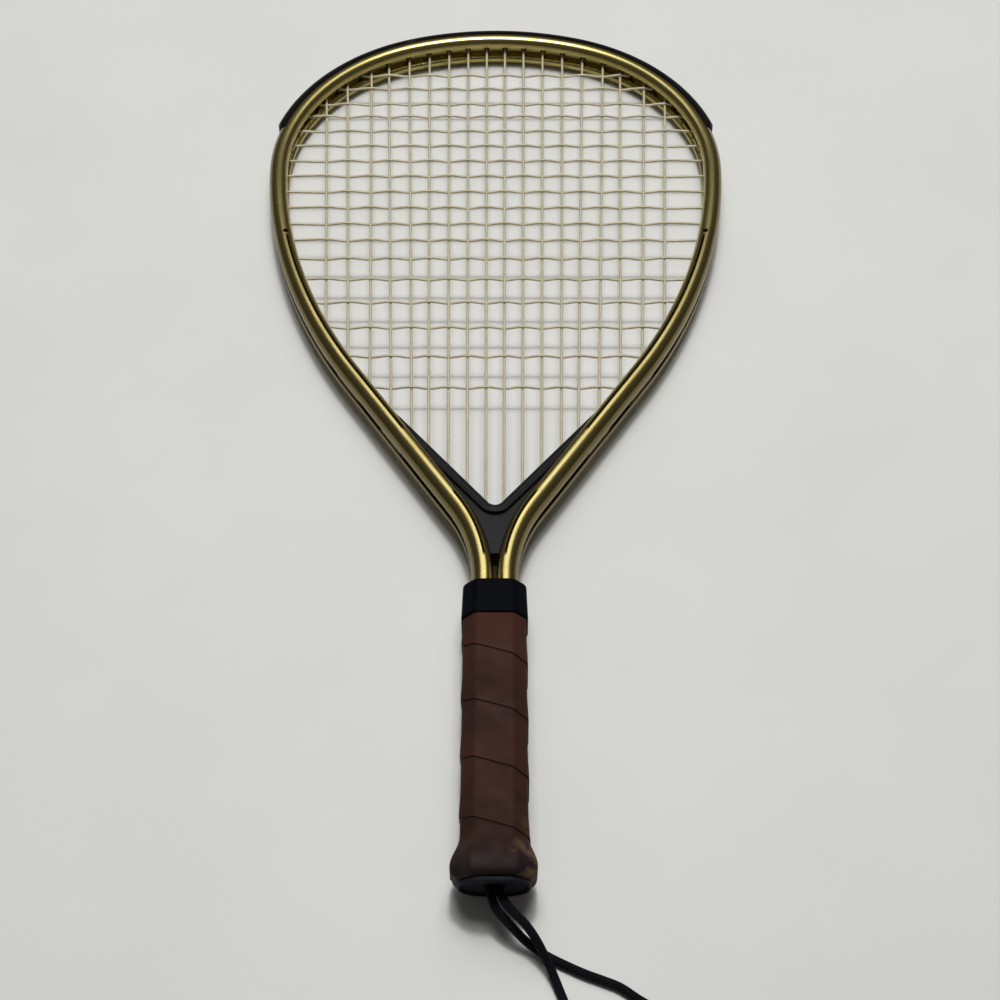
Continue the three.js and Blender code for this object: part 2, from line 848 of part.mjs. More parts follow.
// Collar
const collarStart = handleLength - collarLength;
const collar = cut(handleLoft(softOctagon, [
  [collarStart, collarWall + fit],
  [handleLength - collarShoulder, collarWall - fit],
  [handleLength - collarShoulder / 3, collarWall / 2 + fit],
  [handleLength, collarWall / 4],
]), [palletEnvelope, looseArms]);
addPart('collar', collar, collarRubber);

// Growth of the butt cap under the leather: a neck at the butt, the flare, and an easy slope
function flareAt(y) {
  if (y <= flarePlace) {
    const share = Math.max(0, (y - gripStart) / (flarePlace - gripStart));
    return neckGrowth + (flareGrowth - neckGrowth) * Math.sin(share * Math.PI / 2);
  }
  const share = Math.min(1, (y - flarePlace) / flareLength);
  return flareGrowth * (1 + Math.cos(share * Math.PI)) / 2;
}

const between = (from, to, steps) => Array.from(
  { length: steps + 1 },
  (_, i) => from + (to - from) * i / steps,
);

// The butt cap as a solid, grown by a clearance where it is used as a cutter
function capBody(growth) {
  const cup = [...between(gripStart, flarePlace, flareSteps),
    ...between(flarePlace, cupEnd, flareSteps).slice(1)];
  return handleLoft(softOctagon, [
    [-overrun, capEndGrowth],
    [gripStart - fit, capEndGrowth],
    [gripStart - fit, neckGrowth + growth],
    ...cup.map((y) => [y, flareAt(y) + growth]),
    [cupEnd + growth, flareAt(cupEnd) + growth],
  ]);
}

// The leather follows its winding: round the grip each column of points is set on by its share
// of a turn, and along the grip the edge of each turn stands on the turn before
function leatherWrap() {
  const column = softOctagon(0);
  const steps = column.map((point, i) => point.distanceTo(column[(i + 1) % column.length]));
  const total = steps.reduce((sum, step) => sum + step, 0);
  const shares = [0];
  steps.forEach((step) => shares.push(shares.at(-1) + step / total));
  const start = wrapPlace - 2 * wrapPitch;
  const turns = Math.ceil((collarStart - start) / wrapPitch) + 1;
  const rows = Array.from({ length: turns }, (_, turn) => (
    wrapShares.map(([across, rise]) => [turn + across, rise])
  )).flat();
  const points = rows.flatMap(([turn, rise]) => shares.map((share, j) => {
    const y = start + wrapPitch * (turn + share);
    const growth = flareAt(y) + fit + leatherThickness + leatherRise * rise;
    const { x, y: z } = softOctagon(growth)[j % column.length];
    return new THREE.Vector3(x, y, -z);
  }));
  const width = shares.length;
  const last = rows.length - 1;
  const perTurn = wrapShares.length;
  const at = (row, j) => row * width + j;
  const low = points.push(new THREE.Vector3(0, start - wrapPitch, 0)) - 1;
  const high = points.push(new THREE.Vector3(0, start + wrapPitch * (turns + 2), 0)) - 1;
  const index = [];
  for (let j = 0; j < width - 1; j++) {
    for (let row = 0; row < last; row++) {
      index.push(at(row, j), at(row, j + 1), at(row + 1, j + 1));
      index.push(at(row, j), at(row + 1, j + 1), at(row + 1, j));
    }
    index.push(at(0, j + 1), at(0, j), low, at(last, j), at(last, j + 1), high);
  }
  for (let row = 0; row < perTurn; row++) {
    index.push(at(row, 0), at(row + 1, 0), low);
    index.push(at(last - row, width - 1), at(last - row - 1, width - 1), high);
  }
  return indexedSolid(points, index);
}

const leather = cut(leatherWrap().mirror([1, 0, 0]), [palletEnvelope, capBody(fit)])
  .trimByPlane([0, 1, 0], gripStart)
  .trimByPlane([0, -1, 0], fit - collarStart);
addPart('leather_grip', leather, brownLeather);

// Butt cap, with its recess and an oval hole for both ends of the cord
const cordSpacing = cordDiameter + fit;
function ovalOutline() {
  const radius = cordDiameter / 2 + cordHoleSlack;
  return Array.from({ length: 2 * cordSides }, (_, i) => {
    const turn = Math.PI * (i + 0.5) / cordSides;
    const side = Math.sign(Math.cos(turn)) * cordSpacing / 2;
    return new THREE.Vector2(side + radius * Math.cos(turn), radius * Math.sin(turn));
  });
}

const recess = handleLoft(softOctagon, [[-overrun, recessGrowth], [capRecess, recessGrowth]]);
const rimHeight = (palletDepth / 2 + capEndGrowth) * Math.sin(capSlant * degrees);
const buttCap = cut(capBody(0), [
  palletEnvelope,
  recess,
  alongHandle(ovalOutline(), capRecess - overrun, palletStart + overrun),
]).trimByPlane([0, Math.cos(capSlant * degrees), -Math.sin(capSlant * degrees)], rimHeight);
addPart('butt_cap', buttCap, capRubber);

// Knot, a turned lump with flattened ends
const knotProfile = [[0, 0], [0.35, 0.02], [0.8, 0.2], [1, 0.5], [0.8, 0.8], [0.35, 0.98], [0, 1]]
  .map(([across, up]) => new THREE.Vector2(across * knotDiameter / 2, up * knotDiameter));
const knot = solid(new THREE.LatheGeometry(knotProfile, knotSides))
  .translate([0, knotFace, 0]);
addPart('cord_knot', knot, braid);

// The racket lies on its back on two places: the flare of the grip and the crown of the frame
const lowest = leather.boundingBox().min[2];
const drop = Math.atan2(-frameDepth / 2 - lowest, crown - flarePlace);
body.rotation.x = -drop;
racket.updateMatrixWorld(true);
const bounds = new THREE.Box3().setFromObject(body, true);
const middle = bounds.getCenter(new THREE.Vector3());
body.position.set(-middle.x, -middle.y, -bounds.min.z);
racket.updateMatrixWorld(true);

// The wrist cord from the knot out through the butt cap, over the ground and back.
// Past the cap each point is its place from the butt: to the right, on, and up from the ground.
const cordRoute = [
  [4.9, -4.6, 16.9], [8.7, -4.9, 15], [12.4, -5.6, 11.4], [16.3, -9.4, 8.2], [19.5, -14, 6.15],
  [21.8, -18.4, 4], [23.9, -23, 2.7], [27, -31.5, 1.95], [31, -44, 1.95], [34, -60, 1.95],
  [35, -78, 1.95], [40, -96, 1.95], [53, -110, 1.95], [71, -114, 1.95], [86, -104, 1.95],
  [92, -86, 1.95], [89, -66, 1.95], [79, -49, 1.95], [68, -38.5, 1.95], [56.4, -31.5, 1.95],
  [48.9, -26.3, 1.95], [42, -23.4, 1.95], [35.7, -21, 1.95], [27.5, -17.2, 1.95],
  [19.6, -12.3, 2.15], [14.4, -9.9, 4.2], [10.6, -8.2, 7], [6.3, -6.7, 10.9], [1.6, -5.7, 13.9],
];
const inCap = (side, y) => body.localToWorld(new THREE.Vector3(side * cordSpacing / 2, y, 0));
const butt = body.localToWorld(new THREE.Vector3());
const cordCurve = new THREE.CatmullRomCurve3([
  inCap(1, knotFace - fit),
  inCap(1, -cordLead),
  ...cordRoute.map(([x, y, z]) => new THREE.Vector3(butt.x + x, butt.y + y, z)),
  inCap(-1, -cordLead),
  inCap(-1, knotFace - fit),
], false, 'centripetal');
const cord = solid(new THREE.ExtrudeGeometry(new THREE.Shape(regularOutline(cordDiameter, cordSides)), {
  steps: Math.round(cordCurve.getLength() / cordStep),
  bevelEnabled: false,
  extrudePath: cordCurve,
}));
addPart('wrist_cord', cord, braid, racket);

export default racket;
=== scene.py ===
"""A racquetball racket lying on a pale table: a bent gold frame with its grommets, bumper and
throat yoke, woven strings, and a leather-wrapped handle with a wrist cord. Shapes are worked
out in the racket's own millimetres, strings in the plane z = 0 and butt at y = 0, then laid."""

import bmesh
import bpy
import numpy as np
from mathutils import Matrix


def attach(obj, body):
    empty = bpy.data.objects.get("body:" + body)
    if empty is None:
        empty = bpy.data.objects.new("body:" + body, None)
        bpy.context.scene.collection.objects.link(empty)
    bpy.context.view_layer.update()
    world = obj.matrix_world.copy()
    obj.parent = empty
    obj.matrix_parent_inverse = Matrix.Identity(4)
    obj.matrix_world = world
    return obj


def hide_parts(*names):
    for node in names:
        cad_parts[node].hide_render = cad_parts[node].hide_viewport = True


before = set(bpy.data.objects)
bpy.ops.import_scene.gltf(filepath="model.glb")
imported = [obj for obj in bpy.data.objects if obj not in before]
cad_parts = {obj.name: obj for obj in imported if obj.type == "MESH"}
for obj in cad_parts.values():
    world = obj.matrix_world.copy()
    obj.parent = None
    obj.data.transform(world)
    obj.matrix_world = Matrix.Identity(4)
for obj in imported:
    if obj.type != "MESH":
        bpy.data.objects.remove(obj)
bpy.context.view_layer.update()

# Camera: held high a little way off the butt and looking down at the throat, as the racket
# was photographed.
camera_place = (0.0023, -0.5503, 0.6773)
camera_tilt = np.radians(36.26)


def adjust(thing, **settings):
    """Gives a thing each of its settings."""
    for key, value in settings.items():
        setattr(thing, key, value)
    return thing


def put(name, data, **settings):
    """An object of the scene, at the origin but for its settings, with its data."""
    made = bpy.data.objects.new(name, data)
    bpy.context.collection.objects.link(made)
    return adjust(made, **settings)


camera_data = adjust(bpy.data.cameras.new("camera"), sensor_width=36, lens=64.8)
bpy.context.scene.camera = put("camera", camera_data, location=camera_place,
                               rotation_euler=(camera_tilt, 0, 0))
bpy.context.scene.view_settings.view_transform = "Standard"

# Table: a plain, slightly warm grey-white top.
table_reach = 6.0
table_corners = np.array([[-1, -1, 0], [1, -1, 0], [1, 1, 0], [-1, 1, 0]])
table_mesh = bpy.data.meshes.new("table")
table_mesh.from_pydata(table_reach * table_corners, [], [[0, 1, 2, 3]])
table = put("table", table_mesh)


def fill(node, values):
    """Links each input of a node to its value where that is a socket, and sets it otherwise."""
    for key, value in values.items():
        if isinstance(value, bpy.types.NodeSocket):
            node.id_data.links.new(value, node.inputs[key])
        else:
            node.inputs[key].default_value = value


def add_node(kind, inputs, **settings):
    """A node with its settings and inputs, in the same material as the sockets that feed it."""
    tree = next(value.id_data for value in inputs.values()
                if isinstance(value, bpy.types.NodeSocket))
    made = adjust(tree.nodes.new(kind), **settings)
    fill(made, inputs)
    return made


def paint(code):
    """A colour from its usual six-figure code, turned from screen values to light values."""
    shares = np.array([code >> 16 & 255, code >> 8 & 255, code & 255]) / 255
    light = np.where(shares <= 0.04045, shares / 12.92, ((shares + 0.055) / 1.055) ** 2.4)
    return (*light.tolist(), 1.0)


def mixed(share, first, second):
    """The colour between two others, given as sockets or codes, at a share from a socket."""
    tones = [paint(tone) if isinstance(tone, int) else tone for tone in (first, second)]
    return add_node("ShaderNodeMix", {0: share, 6: tones[0], 7: tones[1]},
                    data_type="RGBA").outputs[2]


def ramped(value, low, high, start=0.0, end=1.0):
    """A value stretched from one range onto another, and held at the ends."""
    return add_node("ShaderNodeMapRange", {0: value, 1: low, 2: high, 3: start, 4: end},
                    clamp=True).outputs[0]


def summed(how, *values):
    """One step of arithmetic on sockets or numbers."""
    return add_node("ShaderNodeMath", dict(enumerate(values)), operation=how).outputs[0]


def times(first, second):
    """The product of two sockets, or of a socket and a number."""
    return summed("MULTIPLY", first, second)


def mottle(place, scale, detail=4.0, roughness=0.55):
    """A soft noise between 0 and 1 over a place, with its scale in blots to a metre."""
    return add_node("ShaderNodeTexNoise", {"Vector": place, "Scale": scale, "Detail": detail,
                                           "Roughness": roughness}).outputs["Fac"]


def bumped(height, distance, strength=1.0, **under):
    """A surface direction bent by a height map whose full step is a distance in metres."""
    return add_node("ShaderNodeBump", {"Height": height, "Distance": distance,
                                       "Strength": strength, **under}).outputs[0]


def new_finish(name, **constants):
    """A material, its one surface shader with constant inputs set on its own sockets, and
    the place of each point in the object's own metres."""
    finish = bpy.data.materials.new(name)
    finish.use_nodes = True
    nodes = finish.node_tree.nodes
    surface = nodes["Principled BSDF"]
    fill(surface, {key.replace("_", " "): value for key, value in constants.items()})
    return finish, surface, nodes.new("ShaderNodeTexCoord").outputs["Object"]


table_finish, surface, place = new_finish("table_top", Roughness=0.6)
fill(surface, {"Base Color": mixed(ramped(mottle(place, 9), 0.3, 0.7), 0xDADAD6, 0xD5D5D2)})
table.data.materials.append(table_finish)

# Light: a broad lamp high over the racket, a little beyond its head, with a small bright lamp
# in its middle, a wide faint strip of ceiling far beyond the head, and a dim room.
for lamp_name, watts, wide, high, place, turned in (
        ("ceiling_panel", 25.0, 0.95, 0.95, (0.04, 0.46, 2.2), (-12, 1, 0)),
        ("ceiling_bulb", 15.0, 0.22, 0.22, (0.04, 0.46, 2.2), (-12, 1, 0)),
        ("far_ceiling", 9.0, 2.2, 0.75, (0.0, 1.35, 1.95), (-35, 0, 0))):
    lamp_data = adjust(bpy.data.lights.new(lamp_name, "AREA"), energy=watts,
                       shape="RECTANGLE", size=wide, size_y=high)
    put(lamp_name, lamp_data, location=place, rotation_euler=np.radians(turned))
room = bpy.data.worlds.new("room")
room.use_nodes = True
fill(room.node_tree.nodes["Background"], {"Color": (1.0, 0.98, 0.95, 1.0), "Strength": 0.08})
bpy.context.scene.world = room


# Wrist cord: a round braid of dark nylon. Both its ends go through the butt cap to one knot,
# and the loop lies out over the table beyond the butt.
cord_diameter = 3.6
cord_gap = 3.9
cord_round = 16
cord_step = 1.0
tilt = -0.015385
butt_place = np.array([0.0, -263.2663, 17.0189])
knot_face = 12.9


def lay(points):
    """Racket millimetres to the world's metres: turned about x so that it lies, then moved."""
    across, along, up = np.moveaxis(np.asarray(points, float), -1, 0)
    turned = np.stack([across, along * np.cos(tilt) - up * np.sin(tilt),
                       along * np.sin(tilt) + up * np.cos(tilt)], axis=-1)
    return (turned + butt_place) / 1000


def unit(vectors):
    """Vectors divided by their own lengths."""
    return vectors / np.linalg.norm(vectors, axis=-1, keepdims=True)


def lengths_along(line):
    """Distance from the start of a line to each of its points."""
    return np.concatenate([[0], np.cumsum(np.linalg.norm(np.diff(line, axis=0), axis=1))])


def closed(outline):
    """An outline or a line with its first point again at its end."""
    return np.vstack([outline, outline[:1]])


def points_at(marks, along, line):
    """Points at distances along a line whose own points stand at other distances."""
    return np.stack([np.interp(marks, along, part) for part in line.T], axis=1)


def evenly(line, step):
    """The same line with its points set at even distances along it."""
    along = lengths_along(line)
    return points_at(np.linspace(0, along[-1], int(round(along[-1] / step)) + 1), along, line)


def cell_corners(values):
    """What stands at the four corners of each cell, for grids (pieces, rows, columns)."""
    return np.stack([values[:, :-1, :-1], values[:, 1:, :-1], values[:, 1:, 1:],
                     values[:, :-1, 1:]], axis=3)


def skin(name, grid, along=None, around=None, rolled=True, capped=True, crease=40):
    """A mesh through grids of points in metres, shaped (pieces, rows, columns, 3). Columns
    join round where it is rolled, and the first and last rows close on flat ends where it is
    capped. The UV map holds the metres along the rows and round the columns that are given,
    or else a millimetre for each."""
    grid = np.reshape(grid, (-1, *np.shape(grid)[-3:]))
    pieces, rows, columns = grid.shape[:3]
    number = np.arange(pieces * rows * columns).reshape(pieces, rows, columns)
    ends = number[:, 0].tolist() + number[:, -1, ::-1].tolist()
    if rolled:
        number = np.concatenate([number, number[..., :1]], axis=2)
    quads = cell_corners(number).reshape(-1, 4)
    mesh = bpy.data.meshes.new(name)
    mesh.from_pydata(grid.reshape(-1, 3), [], quads.tolist() + (ends if capped else []))
    along = np.arange(rows) / 1000 if along is None else along
    around = np.arange(number.shape[2]) / 1000 if around is None else around
    lengths = np.stack(np.meshgrid(along, around, indexing="ij"), axis=-1)
    uv = np.zeros((len(mesh.loops), 2))
    uv[:quads.size] = np.tile(cell_corners(lengths[None]).reshape(-1, 2), (pieces, 1))
    mesh.uv_layers.new(name="length").data.foreach_set("uv", uv.ravel())
    piece = put(name, mesh)
    face_out(mesh)
    smooth(mesh, crease)
    return piece


def dress(piece, finish, slot, *nodes):
    """Gives a piece its finish and its body, and hides the CAD nodes that it stands for."""
    piece.data.materials.clear()
    piece.data.materials.append(finish)
    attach(piece, "root")
    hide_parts(*nodes)


def smooth(mesh, crease):
    """Smooth shading but for the edges that turn by more than a crease in degrees."""
    mesh.polygons.foreach_set("use_smooth", [True] * len(mesh.polygons))
    mesh.set_sharp_from_angle(angle=np.radians(crease))


def face_out(mesh):
    """Merges doubled points, drops faces with no area, and turns all faces outwards."""
    work = bmesh.new()
    work.from_mesh(mesh)
    bmesh.ops.remove_doubles(work, verts=work.verts, dist=1e-7)
    bmesh.ops.dissolve_degenerate(work, dist=1e-8, edges=work.edges)
    bmesh.ops.recalc_face_normals(work, faces=work.faces)
    work.to_mesh(mesh)
    work.free()


def circles(first, second, sides):
    """At each point, the cosine of a full turn along one way and its sine along another."""
    turns = (np.arange(sides) * 2 * np.pi / sides)[:, None]
    return np.cos(turns) * first[:, None] + np.sin(turns) * second[:, None]


def hose(line, radius, sides):
    """Rings about a line: each ring's first direction is level, square to the line's way."""
    way = unit(np.gradient(line, axis=0))
    level = unit(np.cross(way, [0, 0, 1]))
    return line[:, None] + radius * circles(level, np.cross(level, way), sides)


def tube(name, line, radius, sides, crease=40):
    """A hose's mesh, with its true lengths along and round it."""
    return skin(name, hose(line, radius, sides), lengths_along(line),
                np.linspace(0, 2 * np.pi * radius, sides + 1), crease=crease)


def catmull(points, each):
    """A curve through points, smooth where it passes them, whose pace goes with the root of
    the distance between them."""
    points = np.asarray(points, float)
    points = np.vstack([2 * points[0] - points[1], points, 2 * points[-1] - points[-2]])
    pace = np.maximum(np.linalg.norm(np.diff(points, axis=0), axis=1) ** 0.5, 1e-6)[:, None]
    p0, p1, p2, p3 = points[:-3], points[1:-2], points[2:-1], points[3:]
    d0, d1, d2 = pace[:-2], pace[1:-1], pace[2:]
    start_way = ((p1 - p0) / d0 - (p2 - p0) / (d0 + d1) + (p2 - p1) / d1) * d1
    end_way = ((p2 - p1) / d1 - (p3 - p1) / (d1 + d2) + (p3 - p2) / d2) * d1
    share = (np.arange(each) / each)[None, :, None]
    p1, p2, start_way, end_way = (part[:, None] for part in (p1, p2, start_way, end_way))
    curve = (p1 + start_way * share
             + (3 * (p2 - p1) - 2 * start_way - end_way) * share ** 2
             + (2 * (p1 - p2) + start_way + end_way) * share ** 3)
    return np.vstack([curve.reshape(-1, 3), points[-2:-1]])


# The cord's way: inside the cap, as across, along and through the handle, and past the cap,
# as to the right of the butt, on towards the head, and up from the table
way_out = [[cord_gap / 2, knot_face - 0.3, 0], [2.1, 8, 0], [4.3, 2.2, 0.4]]
way_in = [[1.0, 0.6, -3.2], [-1.4, 6.4, -0.9], [-cord_gap / 2, knot_face - 0.3, 0]]
cord_route = np.array([
    [8.2, -2.4, 17.2], [12.3, -6.1, 15.1], [15.9, -10.1, 11.8], [18.9, -14.4, 8.4],
    [21.4, -18.6, 5.4], [23.4, -22.8, 3.4], [25.3, -27.4, 2.3], [27.6, -33.5, 1.95],
    [31, -44, 1.95], [34, -60, 1.95], [35, -78, 1.95], [40, -96, 1.95], [53, -110, 1.95],
    [71, -114, 1.95], [86, -104, 1.95], [92, -86, 1.95], [89, -66, 1.95], [79, -49, 1.95],
    [68, -38.5, 1.95], [56.4, -31.5, 1.95], [48.9, -26.3, 1.95], [42, -23.4, 1.95],
    [35.7, -21, 1.95], [27.5, -17.2, 1.95], [20.8, -13.8, 2.3], [15.6, -11.1, 4.2],
    [11.6, -8.7, 6.8], [8.2, -6.2, 9.6], [4.7, -3.2, 12.1],
]) + [butt_place[0], butt_place[1], 0]
cord_line = evenly(catmull(np.vstack([lay(way_out), cord_route / 1000, lay(way_in)]), 24),
                   cord_step / 1000)


def parted(place):
    """The x, y and z of a place."""
    return add_node("ShaderNodeSeparateXYZ", {0: place}).outputs


def own_lengths(surface):
    """How far along and how far round its piece each point is, from the piece's UV map."""
    return parted(adjust(surface.id_data.nodes.new("ShaderNodeUVMap"),
                         uv_map="length").outputs[0])


braid_pick = 0.0022
braid_strands = 8
braid_finish, surface, place = new_finish("dark_braid", Roughness=0.78,
                                          Specular_IOR_Level=0.15)
ways = own_lengths(surface)
forward = times(ways[0], 2 * np.pi / braid_pick)
around = times(ways[1], 2000 * braid_strands / cord_diameter)
one_way = summed("SINE", summed("ADD", forward, around))
other_way = summed("SINE", summed("SUBTRACT", forward, around))
plait = ramped(summed("MAXIMUM", one_way, other_way), -0.2, 1.0)
fuzz = mottle(place, 2600, 3)
fill(surface, {"Base Color": mixed(times(plait, fuzz), 0x04050A, 0x10131F),
               "Normal": bumped(summed("ADD", plait, times(fuzz, 0.3)), 0.00028)})

wrist_cord = tube("wrist_cord_braid", cord_line, cord_diameter / 2000, cord_round)
dress(wrist_cord, braid_finish, "dark_braid", "wrist_cord")

# The knot that both ends go into, a small trefoil in the chamber behind the cap's end
knot_radius = 1.65
knot_spread = 0.62
trefoil = np.linspace(0, 2 * np.pi, 121)[:-1]
knot_line = lay(np.stack([
    knot_spread * (np.sin(trefoil) + 2 * np.sin(2 * trefoil)),
    knot_face + 4 + 1.5 * np.sin(3 * trefoil),
    knot_spread * (np.cos(trefoil) - 2 * np.cos(2 * trefoil)),
], axis=-1))
knot_rings = hose(closed(knot_line), knot_radius / 1000, 12)
knot_rings[-1] = knot_rings[0]
cord_knot = skin("cord_knot_tied", knot_rings, capped=False)
dress(cord_knot, braid_finish, "dark_braid", "cord_knot")


# Frame: one aluminium extrusion, two round rails joined by a web, bent to the head, the two
# legs and the arms inside the handle. It is polished, anodised gold and lightly scuffed.
frame_width = 9.4
frame_depth = 18
web_outer = 1.7
web_inner = -0.3
groove_half = 1.7
channel_floor = 4.8
lip_rounding = 0.4
crest_shift = 0.6
bend_radii = np.array([150, 99, 278])
bend_sweeps = np.radians([17.4, 74.5, 31.4])
throat_radius = 76
arm_spacing = 10.8
throat_line = 152.5
arm_start = 24
frame_step = 2.4
rail_radius = frame_width / 2
rail_middle = frame_depth / 2 - rail_radius

lean = bend_sweeps.sum() - np.pi / 2
side_reach = (bend_radii * np.diff(np.sin([0, *np.cumsum(bend_sweeps)]))).sum()
leg = (side_reach - throat_radius * (1 - np.cos(lean)) - arm_spacing / 2) / np.sin(lean)
bend_ends = np.cumsum([0, *(bend_radii * bend_sweeps), leg, throat_radius * lean,
                       throat_line - arm_start])
bend_headings = np.array([0, *np.cumsum(bend_sweeps), lean + np.pi / 2, np.pi / 2, np.pi / 2])
throat_start, throat_end, frame_end = bend_ends[-3:]
line_marks = np.linspace(0, frame_end, 12001)
line_heading = np.interp(line_marks, bend_ends, bend_headings)


def summed_up(rates):
    """The running total of a rate along the frame line, by the middle of each step."""
    return np.concatenate([[0], np.cumsum((rates[1:] + rates[:-1]) / 2 * np.diff(line_marks))])


line_x = summed_up(np.cos(line_heading))
line_y = -summed_up(np.sin(line_heading))
line_y += throat_line - np.interp(throat_end, line_marks, line_y)
crown = line_y[0]


def frame_at(stations):
    """Point on the frame line and its outward way at distances from the crown, negative on
    the left: the line's heading turns evenly in each bend, and its place is the sum of it."""
    stations = np.asarray(stations, float)
    along, side = np.abs(stations), np.where(stations < 0, -1, 1)
    heading, x, y = (np.interp(along, line_marks, part)
                     for part in (line_heading, line_x, line_y))
    return (np.stack([side * x, y, 0 * x], axis=-1),
            np.stack([side * np.sin(heading), np.cos(heading), 0 * x], axis=-1))


def beside(stations, out):
    """Points on the frame line moved by a distance along its outward way."""
    point, outward = frame_at(stations)
    return point + np.asarray(out)[..., None] * outward


def along_frame(stations, section):
    """A section carried along the frame line; its points are a height and a way outwards."""
    point, outward = frame_at(stations)
    section = np.asarray(section)
    return lay(point[:, None] + section[..., 1:] * outward[:, None]
               + section[..., :1] * [0, 0, 1])


def rounded(corners, radius, steps=4):
    """A closed outline with each corner cut back by a radius and bridged with a smooth curve
    that leans on the corner."""
    corners = np.asarray(corners, float)
    radius = np.broadcast_to(radius, len(corners))[:, None]
    start = corners + radius * unit(np.roll(corners, 1, 0) - corners)
    end = corners + radius * unit(np.roll(corners, -1, 0) - corners)
    share = (np.arange(steps + 1) / steps)[None, :, None]
    start, middle, end = start[:, None], corners[:, None], end[:, None]
    curve = start * (1 - share) ** 2 + 2 * middle * share * (1 - share) + end * share ** 2
    return curve.reshape(-1, 2)


def outset(outline, distance):
    """An outline moved outwards, each point square to the way past it."""
    way = unit(np.roll(outline, -1, 0) - np.roll(outline, 1, 0))
    following = np.roll(outline, -1, 0)
    area = (outline[:, 0] * following[:, 1] - outline[:, 1] * following[:, 0]).sum()
    return outline + np.sign(area) * distance * np.stack([way[:, 1], -way[:, 0]], axis=-1)


def round_lengths(outline):
    """Distance round a closed outline to each of its points and back to the first, in m."""
    return lengths_along(closed(outline)) / 1000


def both_rails(half):
    """A closed outline of half a section, over the front rail, and its mirror image."""
    return np.vstack([half, (half * [-1, 1])[::-1]])


def round_rail(turn, radius):
    """Points round a rail at a radius and turns from the outward way: a circle whose crest is
    drawn towards the strings by the crest shift times the squared sine of the turn."""
    return np.stack([rail_middle + radius * np.sin(turn),
                     radius * np.cos(turn) - crest_shift * np.sin(turn) ** 2], axis=-1)


back_turn = np.linspace(0, np.pi, 25)
rail_back = round_rail(back_turn, rail_radius)
flank_turn = np.linspace(0, np.pi / 2, 8)[1:]
rail_flank = np.stack([
    rail_middle - (rail_middle - channel_floor / 2) * np.sin(flank_turn),
    (web_inner + rail_radius) * (1 - np.cos(flank_turn)) - rail_radius,
], axis=-1)
lip_turn = np.linspace(0, np.pi / 2, 5)
rail_lip = np.stack([
    groove_half + lip_rounding * (1 - np.cos(lip_turn)),
    rail_radius - lip_rounding * (1 - np.sin(lip_turn)),
], axis=-1)
frame_section = both_rails(np.vstack([
    [[groove_half, web_outer]], rail_lip, rail_back, rail_flank]))
frame_stations = np.linspace(-frame_end, frame_end, int(2 * frame_end / frame_step))
frame_round = round_lengths(frame_section)


def carve(piece, cutter, crease=40):
    """Takes a cutter's space out of a piece and drops the cutter."""
    adjust(piece.modifiers.new("carve", "BOOLEAN"), operation="DIFFERENCE", object=cutter,
           solver="EXACT")
    graph = bpy.context.evaluated_depsgraph_get()
    carved = bpy.data.meshes.new_from_object(piece.evaluated_get(graph))
    piece.modifiers.clear()
    piece.data = carved
    bpy.data.objects.remove(cutter)
    smooth(carved, crease)


def rods(starts, ends, radius, sides):
    """Round rods between pairs of points, as two rings each about the rod's way."""
    starts, ends = np.asarray(starts, float), np.asarray(ends, float)
    way = unit(ends - starts)
    aside = unit(np.cross(way, [0.01, 0.02, 1]))
    ring = radius * circles(aside, np.cross(aside, way), sides)
    return lay(np.stack([starts[:, None] + ring, ends[:, None] + ring], axis=1))


# String holes: where each string meets the frame line, in order, and moved until they all
# stand a full land apart
mains_per_side = 9
cross_count = 18
yoke_strings = 4
main_pitch = 9.9
main_growth = 0.015
main_line = crown - 58
main_fan = 1560
first_cross = crown - 21.2
cross_pitch = 12
cross_growth = 1.35
even_crosses = 12
hole_apart = 6.225
spreading_rounds = 80
ranks = np.arange(mains_per_side)
main_across = main_pitch * (ranks + 0.5) * (1 + main_growth * (ranks + 0.5))
cross_steps = cross_pitch + cross_growth * np.maximum(
    0, np.arange(cross_count) + 2 - even_crosses)
cross_heights = first_cross - np.concatenate([[0], np.cumsum(cross_steps)[:-1]])


def main_at(rank, y):
    """How far a main stands from the middle line at a height: they fan out from the throat."""
    return main_across[rank] * (1 - (main_line - y) / main_fan)


def meeting_station(word, number):
    """The station where a string's line meets the frame line."""
    widest = np.argmax(line_x)
    if word == "cross":
        return np.interp(-cross_heights[number], -line_y, line_marks)
    off = line_x - main_at(number, line_y)
    if word == "top":
        return np.interp(0, off[:widest], line_marks[:widest])
    leg_end = np.searchsorted(line_marks, throat_start)
    return np.interp(0, -off[widest:leg_end], line_marks[widest:leg_end])


drilled = [("top", rank) for rank in range(7)]
drilled += [("cross", 0), ("top", 7), ("cross", 1), ("top", 8)]
drilled += [("cross", row) for row in range(2, 16)]
drilled += [("bottom", 8), ("cross", 16), ("bottom", 7), ("cross", 17)]
drilled += [("bottom", rank) for rank in (6, 5, 4)]
drilled_at = np.array([meeting_station(*key) for key in drilled])
for _ in range(spreading_rounds):
    for i in range(1, len(drilled_at)):
        lack = hole_apart - (drilled_at[i] - drilled_at[i - 1])
        if lack > 0:
            drilled_at[i - 1] -= lack / 2
            drilled_at[i] += lack / 2
hole_at = dict(zip(drilled, drilled_at))
all_holes = np.concatenate([-drilled_at[::-1], drilled_at])

